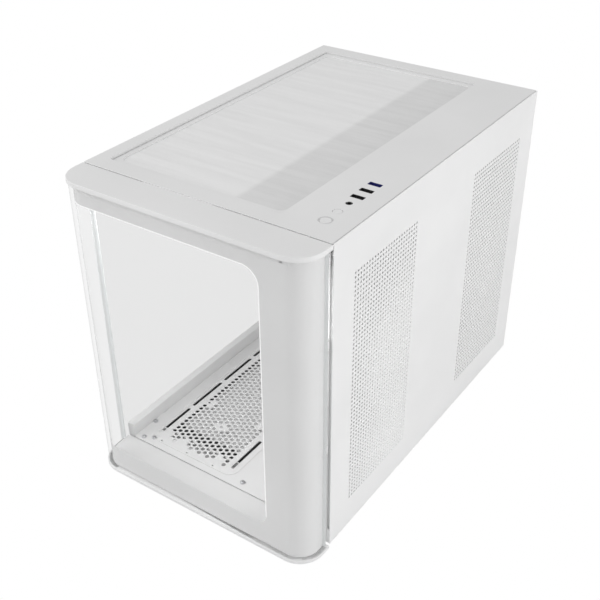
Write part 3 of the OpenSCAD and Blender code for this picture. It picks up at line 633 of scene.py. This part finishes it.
make_camera()
make_world(0.62, 0.64)
make_floor()
area_light("right", (2.3, 0.0, 0.45), (0.1, -0.1, 0.15), (1.5, 1.0), 17)
area_light("front_left", (-2.3, -1.8, 1.8), (0, -0.1, 0.2), (1.8, 1.8), 33)
area_light("shelf", (0, -0.2, 0.34), (0, -0.2, 0), (0.22, 0.02), 0.3)
bpy.context.scene.view_settings.view_transform = "Standard"
bpy.context.scene.view_settings.look = "None"

# ---------------------------------------------------------------- front module

MODULE_GAP = 1.0                        # between the front module's plates and the body
MODULE_BACK = SEAM_Y - MODULE_GAP
BASE_TOP = LOW - MODULE_GAP
ROUND = 0.3


def rounded_front(r):
    """The two front corners of a plan outline, with radius r round the case's own corner centres."""
    return (arc(LEFT + CORNER_R, FRONT + CORNER_R, r, 180, 270, 12)
            + arc(RIGHT - CORNER_R, FRONT + CORNER_R, r, 270, 360, 12))


def plate_rings(levels):
    """Rings of the front module's plan outline, at each (inset, height)."""
    rings = []
    for inset, z in levels:
        back = MODULE_BACK - min(inset, 0.6)
        outline = [(LEFT + inset, back)] + rounded_front(CORNER_R - inset) + [(RIGHT - inset, back)]
        rings.append([(x, y, z) for x, y in outline])
    return rings


def front_top_plate():
    """The cap, with a round upper edge, and under it the plug that sits inside the glass."""
    lo, hi = box_mm("front_top_plate")
    cad_plug_h = 8
    cap_low = lo.z + cad_plug_h
    plug_h, plug_inset, soft, edge = 6, 5.5, 0.35, 0.9
    levels = [(plug_inset, cap_low - plug_h), (plug_inset, cap_low), (soft, cap_low), (0, cap_low + soft)]
    levels.append((0, hi.z - edge))
    for a in (0.4, 0.8, 1.2, math.pi / 2):
        levels.append((edge * (1 - math.cos(a)), hi.z - edge * (1 - math.sin(a))))
    place_piece(loft("front_top_plate_body", plate_rings(levels), MAT["white_plastic"]), "front_top_plate")


def front_bottom_plate():
    lo, _ = box_mm("front_bottom_plate")
    edge, step = 0.8, 0.25
    levels = [(edge, lo.z), (step, lo.z + step), (0, lo.z + edge), (0, BASE_TOP - ROUND), (ROUND, BASE_TOP)]
    base = loft("front_bottom_plate_body", plate_rings(levels), MAT["white_plastic"])
    place_piece(base, "front_bottom_plate")


def front_shelf():
    """The raised block behind the glass's lower edge."""
    _, top = box_mm("front_bottom_plate")
    side, right_notch = 6.0, 10.0
    rings = []
    for inset, z in ((0, BASE_TOP), (0, top.z - 0.6), (0.2, top.z - 0.2), (0.6, top.z)):
        left, right, notch = LEFT + side + inset, RIGHT - side - inset, RIGHT - right_notch - inset
        back, notch_back = MODULE_BACK - inset, top.y - inset
        outline = [(left, back)] + rounded_front(CORNER_R - side - inset)
        outline += [(right, back), (notch, back), (notch, notch_back), (left, notch_back)]
        rings.append([(x, y, z) for x, y in outline])
    add_piece(loft("front_shelf", rings, MAT["white_plastic"]), "front_bottom_plate")


GLASS_R = CORNER_R - GLASS_INSET
BEND_L = math.pi / 2 * GLASS_R
LEFT_GLASS_LO, LEFT_GLASS_HI = box_mm("left_glass")
GLASS_LEFT_Y = LEFT_GLASS_LO.y - 4.0            # the front glass ends in front of the left glass
GLASS_RIGHT_Y = SEAM_Y - 5.0                    # and in front of the side panel
TURN_Y = FRONT + CORNER_R
# lengths round the glass: left flank, bend, front, bend, right flank
GLASS_RUNS = [GLASS_LEFT_Y - TURN_Y, BEND_L, RIGHT - LEFT - 2 * CORNER_R, BEND_L, GLASS_RIGHT_Y - TURN_Y]
GLASS_LENGTH = sum(GLASS_RUNS)
BENDS = [start + BEND_L * k / 16 for start in (GLASS_RUNS[0], sum(GLASS_RUNS[:3])) for k in range(17)]

# the clear window in the printed border: its edges, and its corners on the right
WINDOW_RIGHT = 89.0
WINDOW_END = GLASS_RUNS[0] + BEND_L + (WINDOW_RIGHT - LEFT - CORNER_R)
WINDOW_LOW, WINDOW_HIGH = LOW + 25.5, LOW + 322.5
FLANK_LOW = LOW + 6.0
TOP_R, LOW_R = 17.0, 11.0
STEP_START, STEP_END = BENDS[5], BENDS[6]       # where the lower border steps down to the left flank


def glass_point(s, z, depth):
    """The point at length s round the glass from its left end, at height z and below its outer face."""
    flank, bend, flat = GLASS_RUNS[:3]
    r = GLASS_R - depth
    if s <= flank:
        return (LEFT + GLASS_INSET + depth, GLASS_LEFT_Y - s, z)
    s -= flank
    if s <= bend:
        a = math.pi + s / GLASS_R
        return (LEFT + CORNER_R + r * math.cos(a), TURN_Y + r * math.sin(a), z)
    s -= bend
    if s <= flat:
        return (LEFT + CORNER_R + s, FRONT + GLASS_INSET + depth, z)
    s -= flat
    if s <= bend:
        a = 1.5 * math.pi + s / GLASS_R
        return (RIGHT - CORNER_R + r * math.cos(a), TURN_Y + r * math.sin(a), z)
    return (RIGHT - GLASS_INSET - depth, TURN_Y + s - bend, z)


def along(s0, s1, z):
    """Points at height z from s0 to s1 round the glass, with one at every bend on the way."""
    between = [s for s in BENDS if min(s0, s1) < s < max(s0, s1)]
    if s1 < s0:
        between.reverse()
    return [(s0, z)] + [(s, z) for s in between] + [(s1, z)]


def window_top(start, grow):
    """The window's top and right edge, from its top left. grow moves it out into the border."""
    points = along(start, WINDOW_END - TOP_R, WINDOW_HIGH + grow)
    corner = arc(WINDOW_END - TOP_R, WINDOW_HIGH - TOP_R, TOP_R + grow, 0, 90, 8)
    return points + corner[::-1][1:] + [(WINDOW_END + grow, WINDOW_LOW + LOW_R)]


def window_bottom(start):
    """The window's lower edge, to its bottom left. On the left flank the border is only a narrow foot."""
    corner = arc(WINDOW_END - LOW_R, WINDOW_LOW + LOW_R, LOW_R, -90, 0, 6)
    points = corner[::-1] + along(WINDOW_END - LOW_R, STEP_END, WINDOW_LOW)[1:]
    return points + along(STEP_START, start, FLANK_LOW)


def mark_edges(pane):
    """Gives the narrow upright faces at the ends of a glass pane the look of a ground edge, with a faint
    painted highlight glow.
    """
    narrow, upright = 0.0062, 0.5
    pane.data.materials.append(MAT["glass_edge"])
    for face in pane.data.polygons:
        corners = [pane.data.vertices[v].co for v in face.vertices]
        shortest = min((a - b).length for a, b in zip(corners, corners[1:] + corners[:1]))
        spans = sorted(max(c[k] for c in corners) - min(c[k] for c in corners) for k in range(3))
        if len(corners) == 4 and shortest < narrow and spans[1] < narrow and abs(face.normal.z) < upright:
            face.material_index = 1


def front_glass():
    """The bent pane, the white border printed on its inner face, and the printed rim of the clear window,
    which glows as a painted highlight.
    """
    rim_low, rim_high = GLASS_LO.z + ROUND, GLASS_HI.z - ROUND
    rim_w, print_t, print_gap = 1.1, 0.12, 0.02

    def outer(inset):
        low, high = GLASS_LO.z + inset, GLASS_HI.z - inset
        return along(inset, GLASS_LENGTH - inset, low) + along(GLASS_LENGTH - inset, inset, high)

    def inside(s, z, depth):
        return glass_point(s, z, GLASS_T + print_gap + depth)

    folds = [((s, rim_low), (s, rim_high)) for s in BENDS]
    pane = sheet("front_glass_pane", outer, [], GLASS_T, glass_point, MAT["clear_glass"], ROUND, folds)
    mark_edges(pane)
    place_piece(pane, "front_glass")

    border = outer(ROUND) + window_top(ROUND, rim_w) + window_bottom(ROUND)
    rim = window_top(ROUND, 0) + window_top(ROUND, rim_w)[::-1]
    folds, rim_folds = [], []
    for s in BENDS:
        if s > WINDOW_END:
            folds.append(((s, rim_low), (s, rim_high)))
        else:
            low = WINDOW_LOW if s > STEP_START else FLANK_LOW
            folds += [((s, rim_low), (s, low)), ((s, WINDOW_HIGH + rim_w), (s, rim_high))]
            rim_folds.append(((s, WINDOW_HIGH), (s, WINDOW_HIGH + rim_w)))
    for name, outline, look, lines in (("front_glass_border", border, "white_print", folds),
                                       ("front_glass_rim", rim, "print_rim", rim_folds)):
        printed = sheet(name, lambda _: outline, [], print_t, inside, MAT[look], 0, lines)
        add_piece(printed, "front_glass")


def front_clips():
    place_piece(softened("front_clips_body", "front_clips", MAT["white_plastic"], 0.5), "front_clips")


# ---------------------------------------------------------------- outer panels and filters


def right_side_panel():
    """Right side panel with its two perforated vents, at their real pitch, and its folded front edge."""
    pitch, hole_r = 4.75, 1.37
    vent_w, vent_low, vent_high = 116, LOW + 35.5, LOW + 304.5
    holes = []
    for y in (SEAM_Y + 32, BACK - 34 - vent_w):
        holes += square_grid(y, vent_low, y + vent_w, vent_high, pitch, hole_r)
    panel = sheet("right_side_panel_sheet", rect(SEAM_Y, LOW, BACK, HIGH, 0.8), holes, STEEL_T,
                  across_x(RIGHT, -1), MAT["white_steel"], 0.3)
    place_piece(panel, "right_side_panel")
    fold_w, gap_w, foot_h, slit = 9, 3.5, 20, 0.05
    fold_back = SEAM_Y + STEEL_T
    fold = [((RIGHT - fold_w, SEAM_Y, LOW + 1), (RIGHT - gap_w, fold_back, HIGH - 2)),
            ((RIGHT - gap_w + slit, SEAM_Y, LOW + 1), (RIGHT - 0.6, fold_back, LOW + foot_h))]
    add_piece(boxes("right_side_panel_fold", fold, MAT["white_steel"]), "right_side_panel")


def top_panel():
    """Top sheet, with the sunk tray of the dust filter and the openings of the I/O row."""
    steel = MAT["white_steel"]
    lo, hi = box_mm("top_filter_frame")
    _, panel_hi = box_mm("top_panel")
    gap, recess_r, ledge_w, ledge_depth, skirt_h = 0.9, 3.5, 7, 5, 10
    x0, y0, x1, y1 = lo.x - gap, lo.y - gap, hi.x + gap, hi.y + gap
    recess = round_rect(x0, y0, x1, y1, recess_r)
    holes = [recess]
    for node, r, n in (("power_ring", 6.8, 48), ("reset_button", 4.8, 40), ("audio_jack", 3.4, 32)):
        holes.append(circle(middle("power_button").x, middle(node).y, r, n))
    for k in (1, 2, 3):
        port_lo, port_hi = box_mm(f"usb_port_{k}")
        holes.append(cutout(port_lo.x - 0.2, port_lo.y - 0.2, port_hi.x + 0.2, port_hi.y + 0.2, 0.7))
    upper = sheet("top_panel_sheet", rect(LEFT, SEAM_Y, panel_hi.x, BACK, 0.8), holes, STEEL_T,
                  level_at(HIGH), steel, 0.3)
    place_piece(upper, "top_panel")
    ledge_z = panel_hi.z - ledge_depth
    under = HIGH - STEEL_T
    around = rect(x0 - STEEL_T, y0 - STEEL_T, x1 + STEEL_T, y1 + STEEL_T, recess_r + STEEL_T)
    wall = sheet("top_panel_tray_wall", around, [recess], under - ledge_z, level_at(under), steel, 0.2)
    ledge_hole = round_rect(x0 + ledge_w, y0 + ledge_w, x1 - ledge_w, y1 - ledge_w, 3, 4)
    ledge = sheet("top_panel_ledge", rect(x0, y0, x1, y1, recess_r), [ledge_hole], STEEL_T,
                  level_at(ledge_z + STEEL_T), steel, 0.2)
    skirt = [((LEFT, SEAM_Y, panel_hi.z - skirt_h), (LEFT + STEEL_T, BACK - STEEL_T, under + LAP))]
    for piece in (wall, ledge, boxes("top_panel_skirt", skirt, steel)):
        add_piece(piece, "top_panel")


def top_filter():
    """Frame ring with the netting sunk inside it, on two low cross bars."""
    lo, hi = box_mm("top_filter_frame")
    wall, right_wall, corner, half_bar, bar_t, net_t = 6.0, 1.8, 8.0, 2.0, 0.6, 0.3
    x0, y0, x1, y1 = lo.x + wall, lo.y + wall, hi.x - right_wall, hi.y - wall
    plastic = MAT["white_plastic"]
    ring = sheet("top_filter_ring", rect(lo.x, lo.y, hi.x, hi.y, 3), [round_rect(x0, y0, x1, y1, corner, 8)],
                 hi.z - lo.z, level_at(hi.z), plastic, 0.4)
    place_piece(ring, "top_filter_frame")
    bars = []
    for k in (1, 2):
        y = lo.y + k * (hi.y - lo.y) / 3
        bars.append(((x0 - 1, y - half_bar, lo.z), (x1 + 0.5, y + half_bar, lo.z + bar_t)))
    add_piece(boxes("top_filter_bars", bars, plastic, 0.1), "top_filter_frame")
    hem = 0.2
    net = sheet("top_filter_weave", rect(x0 - hem, y0 - hem, x1 + hem, y1 + hem, corner), [], net_t,
                level_at(lo.z + bar_t + net_t), MAT["filter_mesh"], 0.05)
    # upward faces take top_mesh, the netting with painted shade on its right part
    net.data.materials.append(MAT["top_mesh"])
    for face in net.data.polygons:
        face.material_index = 1 if face.normal.z > 0.5 else 0
    place_piece(net, "top_filter_mesh")


def bottom_filter():
    """Dark frame with one cross bar, over its netting."""
    lo, hi = box_mm("bottom_filter_frame")
    wall, half_bar = 18.0, 2.0
    bar_y = (lo.y + hi.y) / 2
    panes = [round_rect(lo.x + wall, a, hi.x - wall, b, 2.5, 4)
             for a, b in ((lo.y + wall, bar_y - half_bar), (bar_y + half_bar, hi.y - wall))]
    ring = sheet("bottom_filter_ring", rect(lo.x, lo.y, hi.x, hi.y, 3), panes, hi.z - lo.z,
                 level_at(hi.z), MAT["black_plastic"], 0.3)
    place_piece(ring, "bottom_filter_frame")
    lo, hi = box_mm("bottom_filter_mesh")
    net = sheet("bottom_filter_weave", rect(lo.x, lo.y, hi.x, hi.y, 3), [], hi.z - lo.z,
                level_at(hi.z), MAT["filter_mesh"], 0.05)
    place_piece(net, "bottom_filter_mesh")


def left_glass():
    lo, hi = LEFT_GLASS_LO, LEFT_GLASS_HI
    pane = sheet("left_glass_pane", rect(lo.y, lo.z, hi.y, hi.z, 1.5), [], hi.x - lo.x,
                 across_x(lo.x, 1), MAT["side_glass"], 0.6)
    mark_edges(pane)
    place_piece(pane, "left_glass")
    for node in ("left_glass_strip_upper", "left_glass_strip_lower"):
        place_piece(boxes(node + "_bar", [box_mm(node)], MAT[SLOT[node]], 0.15), node)


# ---------------------------------------------------------------- inner sheet metal


def fan_slots(x, first_y, pitch, count, length):
    """Two rows of slots, as far apart as a fan's holes."""
    return [slot(x + side * FAN_HOLES / 2, first_y + k * pitch, 4, length)
            for side in (-1, 1) for k in range(count)]


def chassis_floor():
    """Floor sheet with the fan slots, the fine perforated field, screw holes and a raised outline."""
    steel = MAT["white_steel"]
    lo, hi = box_mm("chassis_floor")
    fan_x = middle("bottom_filter_frame").x
    first, slot_pitch, slot_l, slots = lo.y + 20, 60.0, 54, 6
    end = first + (slots - 1) * slot_pitch + slot_l
    holes = fan_slots(fan_x, first + slot_l / 2, slot_pitch, slots, slot_l)
    boss_x, middle_boss, side_boss, boss_r = 40, 48, 75, 6.4
    bosses = [(fan_x, first + middle_boss + FAN * k) for k in range(3)]
    bosses += [(fan_x + side * boss_x, first + side_boss + FAN * k) for side in (-1, 1) for k in range(3)]
    front_rows = first + 9

    def keep(u, v):
        """No opening on a boss, nor at the three plain places in the front rows."""
        beside = u - fan_x
        if v < front_rows and (abs(beside + 20) < 5 or abs(beside - 32) < 6 or beside < -36):
            return False
        return all(math.hypot(u - x, v - y) > boss_r for x, y in bosses)

    field_w, field_pitch, field_r = 44.5, 6.83, 2.55
    holes += hex_grid(fan_x - field_w, first - 3, fan_x + field_w, end, field_pitch, field_r, keep)
    holes += [circle(x, y, 1.6, 12) for x, y in bosses]
    for x, y in ((-98, -9), (-61, -9), (-24, -9), (22, -10), (40, 3), (58, 20), (22, 30)):
        holes.append(circle(x, first + y, 1.4, 12))
    plate = sheet("chassis_floor_sheet", rect(lo.x, lo.y, hi.x, hi.y), holes, STEEL_T,
                  level_at(hi.z), steel, 0.2)
    place_piece(plate, "chassis_floor")

    under = hi.z - STEEL_T + LAP
    side_front = lo.y + STEEL_T
    flanges = [((lo.x, lo.y, lo.z), (hi.x, side_front, under))]
    flanges += [((x, side_front, lo.z), (x + STEEL_T, hi.y, under)) for x in (lo.x, hi.x - STEEL_T)]
    add_piece(boxes("chassis_floor_flanges", flanges, steel), "chassis_floor")

    rise, bead_w, bead_r = 0.5, 2.4, 12
    x0, y0, x1, y1 = fan_x - 60, first - 12, fan_x + 62, end + 8
    within = round_rect(x0 + bead_w, y0 + bead_w, x1 - bead_w, y1 - bead_w, bead_r - bead_w)
    bead = sheet("chassis_floor_bead", rect(x0, y0, x1, y1, bead_r), [within], rise,
                 level_at(hi.z + rise), steel, 0.25)
    add_piece(bead, "chassis_floor")

    spots = [(x, y, hi.z) for x, y in ((-119, -176), (-126, -148), (-108, -171), (20, -172))]
    dome = [(2.9, 0), (2.9, 0.7), (2.5, 1.3), (1.7, 1.7), (0.8, 1.9)]
    screws = lathe("chassis_floor_screws", spots, dome, MAT["plain_steel"], 24)
    add_piece(screws, "chassis_floor")


def rear_panel():
    """Rear sheet with the board shield opening, card slots, fan grille and power supply opening."""
    lo, hi = box_mm("rear_panel")
    fan = mount("rear_fan_holes")
    supply = mount("power_supply_holes")
    holes = [opening_hole("board_shield_opening", (0, 2), 1)]
    holes.append(opening_hole("power_supply_opening", (0, 2), 1, 3))
    half_h, screw_side, far_side, screw_x, screw_r = 7, 12, 3, 6, 1.5
    for k in (1, 2, 3, 4):
        cover_lo, cover_hi = box_mm(f"slot_cover_{k}")
        z = (cover_lo.z + cover_hi.z) / 2
        holes.append(cutout(cover_lo.x + screw_side, z - half_h, cover_hi.x - far_side, z + half_h))
        holes.append(circle(cover_lo.x + screw_x, z, screw_r, 12))
    supply_w, supply_h, supply_hole_r = 64, 138, 2.0
    holes += four(fan.x, fan.z, FAN_HOLES, FAN_HOLES, FAN_HOLE_R)
    holes += four(supply.x, supply.z, supply_w, supply_h, supply_hole_r)
    half, grille_r, pitch, hole_r = FAN / 2, 55.0, 7.2, 3.05
    holes += hex_grid(fan.x - half, fan.z - half, fan.x + half, fan.z + half, pitch, hole_r,
                      lambda u, v: math.hypot(u - fan.x, v - fan.z) < grille_r)
    plate = sheet("rear_panel_sheet", rect(lo.x, lo.z, hi.x, hi.z), holes, STEEL_T,
                  across_y(hi.y, -1), MAT["white_steel"], 0.25)
    place_piece(plate, "rear_panel")


def motherboard_tray():
    lo, hi = box_mm("motherboard_tray")
    holes = [opening_hole("processor_opening", (1, 2), 1, 6)]
    holes += [opening_hole(f"upper_cable_opening_{k}", (1, 2), 1, 3) for k in (1, 2)]
    lip = 2
    for k in (1, 2, 3):
        low, top = box_mm(f"cable_grommet_{k}")
        holes.append(cutout(low.y + lip, low.z + lip, top.y - lip, top.z - lip, 0.5))
    tray = sheet("motherboard_tray_sheet", rect(lo.y, lo.z, hi.y, hi.z), holes, STEEL_T,
                 across_x(lo.x, 1), MAT["white_steel"], 0.25)
    place_piece(tray, "motherboard_tray")


def bay_partition():
    lo, hi = box_mm("bay_partition")
    holes = [opening_hole(f"partition_opening_{k}", (0, 2), 1, 4) for k in (1, 2)]
    partition = sheet("bay_partition_sheet", rect(lo.x, lo.z, hi.x, hi.z), holes, STEEL_T,
                      across_y(lo.y, 1), MAT["white_steel"], 0.25)
    place_piece(partition, "bay_partition")


def side_fan_bracket():
    lo, hi = box_mm("side_fan_bracket")
    air_r = 57
    holes = []
    for name in ("side_fan_holes_lower", "side_fan_holes_upper"):
        at = mount(name)
        holes.append(circle(at.y, at.z, air_r, 72))
        holes += four(at.y, at.z, FAN_HOLES, FAN_HOLES, FAN_HOLE_R)
    bracket = sheet("side_fan_bracket_sheet", rect(lo.y, lo.z, hi.y, hi.z), holes, STEEL_T,
                    across_x(lo.x, 1), MAT["white_steel"], 0.25)
    place_piece(bracket, "side_fan_bracket")


def top_frame():
    """Upper frame for the fans, with its two side flanges."""
    steel = MAT["white_steel"]
    lo, hi = box_mm("top_frame")
    holes = [opening_hole("top_fan_opening", (0, 1), 1, 6)]
    holes += [opening_hole(f"top_cable_opening_{k}", (0, 1), 1, 3) for k in (1, 2)]
    holes += fan_slots(middle("bottom_filter_frame").x, (SEAM_Y + BACK) / 2 - FAN, FAN, 3, 104)
    upper = sheet("top_frame_sheet", rect(lo.x, lo.y, hi.x, hi.y), holes, STEEL_T,
                  level_at(lo.z + STEEL_T), steel, 0.25)
    place_piece(upper, "top_frame")
    low = lo.z + STEEL_T - LAP
    flanges = [((x, lo.y, low), (x + STEEL_T, hi.y, hi.z)) for x in (lo.x, hi.x - STEEL_T)]
    add_piece(boxes("top_frame_flanges", flanges, steel), "top_frame")


def floor_rails():
    """Box-shaped rails, open below."""
    for node in ("floor_rail_left", "floor_rail_right"):
        lo, hi = box_mm(node)
        inner, under = STEEL_T / 2, hi.z - 0.3
        parts = [((lo.x, lo.y, hi.z - STEEL_T), (hi.x, hi.y, hi.z))]
        parts += [((x, lo.y, lo.z), (x + STEEL_T, hi.y, under)) for x in (lo.x, hi.x - STEEL_T)]
        parts += [((lo.x + inner, y, lo.z), (hi.x - inner, y + STEEL_T, under))
                  for y in (lo.y, hi.y - STEEL_T)]
        place_piece(boxes(node + "_bar", parts, MAT["white_steel"], 0.4, 3), node)


def posts():
    """Angle-shaped posts at the right side's front and rear."""
    inner, flange_w, foot_h = STEEL_T / 2, 10, 22
    lo, hi = box_mm("front_post")
    parts = [((lo.x, lo.y, lo.z), (lo.x + STEEL_T, lo.y + flange_w, hi.z)),
             ((lo.x + inner, lo.y, LOW + foot_h), (hi.x, lo.y + STEEL_T, hi.z))]
    place_piece(boxes("front_post_bar", parts, MAT["white_steel"]), "front_post")
    lo, hi = box_mm("rear_post")
    parts = [((hi.x - STEEL_T, lo.y, lo.z), (hi.x, hi.y, hi.z)),
             ((lo.x, lo.y, lo.z), (hi.x - inner, lo.y + STEEL_T, hi.z))]
    place_piece(boxes("rear_post_bar", parts, MAT["white_steel"]), "rear_post")


def slot_covers():
    first, pitch, vent_l, vent_w = 22, 14, 9, 2.2
    for k in (1, 2, 3, 4):
        node = f"slot_cover_{k}"
        material = MAT[SLOT[node]]
        lo, hi = box_mm(node)
        vents = [slot(lo.x + first + j * pitch, (lo.z + hi.z) / 2, vent_l, vent_w) for j in range(7)]
        plate = sheet(node + "_plate", rect(lo.x + 0.5, lo.z, hi.x, hi.z, 1.5), vents, STEEL_T,
                      across_y(hi.y, -1), material, 0.2)
        place_piece(plate, node)
        fold = boxes(node + "_fold", [((lo.x, lo.y, lo.z), (lo.x + STEEL_T, hi.y, hi.z))], material)
        add_piece(fold, node)


# ---------------------------------------------------------------- small parts


def turned(node, profile, n=48):
    """A turned piece centred on a CAD node, with heights measured from the node's top."""
    mid, top = middle(node), box_mm(node)[1].z
    place_piece(lathe(node + "_body", [(mid.x, mid.y, top)], profile, MAT[SLOT[node]], n), node)


def buttons():
    """Power button with its light ring, and reset button: stem, collar and slightly hollow cap."""
    turned("power_button", [(2, -8.6), (2, -4.6), (6.7, -4.6), (6.7, -3.2), (5.5, -3.2), (5.5, -0.4),
                            (5.3, -0.1), (5.0, 0), (4.2, -0.05), (2.0, -0.2), (0.3, -0.22)])
    turned("reset_button", [(2, -6.0), (2, -2.7), (5.9, -2.7), (5.9, -1.2), (4.5, -1.2), (4.5, -0.4),
                            (4.3, -0.1), (4.0, 0), (3.2, -0.08), (1.5, -0.25), (0.3, -0.28)])
    turned("power_ring", [(5.8, -3.4), (8.2, -3.4), (8.2, -1.05), (6.72, -1.05), (6.72, -0.15), (6.6, 0),
                          (5.95, 0), (5.8, -0.15), (5.8, -3.4)])


def usb_ports():
    """Each port: four walls and a floor, the tongue, and four contacts on it."""
    shell, tongue, contact_w, contact_t, contact_pitch = 0.4, 0.9, 1.0, 0.15, 2.4
    for k in (1, 2, 3):
        node = f"usb_port_{k}"
        lo, hi = box_mm(node)
        hi.z = HIGH - 0.1
        mid_x, tongue_y = (lo.x + hi.x) / 2, (lo.y + hi.y) / 2 - 1
        parts = [((lo.x, y, lo.z), (hi.x, y + shell, hi.z)) for y in (lo.y, hi.y - shell)]
        parts += [((x, lo.y, lo.z), (x + shell, hi.y, hi.z)) for x in (lo.x, hi.x - shell)]
        parts.append(((lo.x, lo.y, lo.z), (hi.x, hi.y, lo.z + 2)))
        parts.append(((lo.x + 1, tongue_y - tongue, lo.z + 1), (hi.x - 1, tongue_y + tongue, hi.z - 1)))
        place_piece(boxes(node + "_body", parts, MAT[SLOT[node]], 0.12), node)
        contacts = []
        for j in range(4):
            x, y = mid_x + (j - 1.5) * contact_pitch - contact_w / 2, tongue_y + tongue
            contacts.append(((x, y, lo.z + 5), (x + contact_w, y + contact_t, hi.z - 2)))
        add_piece(boxes(node + "_contacts", contacts, MAT["brass"], 0.03), node)


def feet():
    for node in ("foot_front_left", "foot_front_right", "foot_rear_left", "foot_rear_right"):
        lo, hi = box_mm(node)
        h = hi.z - lo.z
        turned(node, [(10.6, -h), (11.4, -h + 0.4), (11.6, -h + 1.4), (12, -1), (12, 0)], 56)
    lo, hi = box_mm("foot_pads")
    pad_r = 11
    spots = [(x, y, 0) for x in (lo.x + pad_r, hi.x - pad_r) for y in (lo.y + pad_r, hi.y - pad_r)]
    profile = [(pad_r - 0.8, 0), (pad_r - 0.2, 0.3), (pad_r, 0.9), (pad_r, 3)]
    place_piece(lathe("foot_pads_body", spots, profile, MAT["black_rubber"], 56), "foot_pads")


front_top_plate()
front_bottom_plate()
front_shelf()
front_glass()
front_clips()
right_side_panel()
top_panel()
top_filter()
bottom_filter()
left_glass()
chassis_floor()
rear_panel()
motherboard_tray()
bay_partition()
side_fan_bracket()
top_frame()
floor_rails()
posts()
slot_covers()
buttons()
usb_ports()
feet()
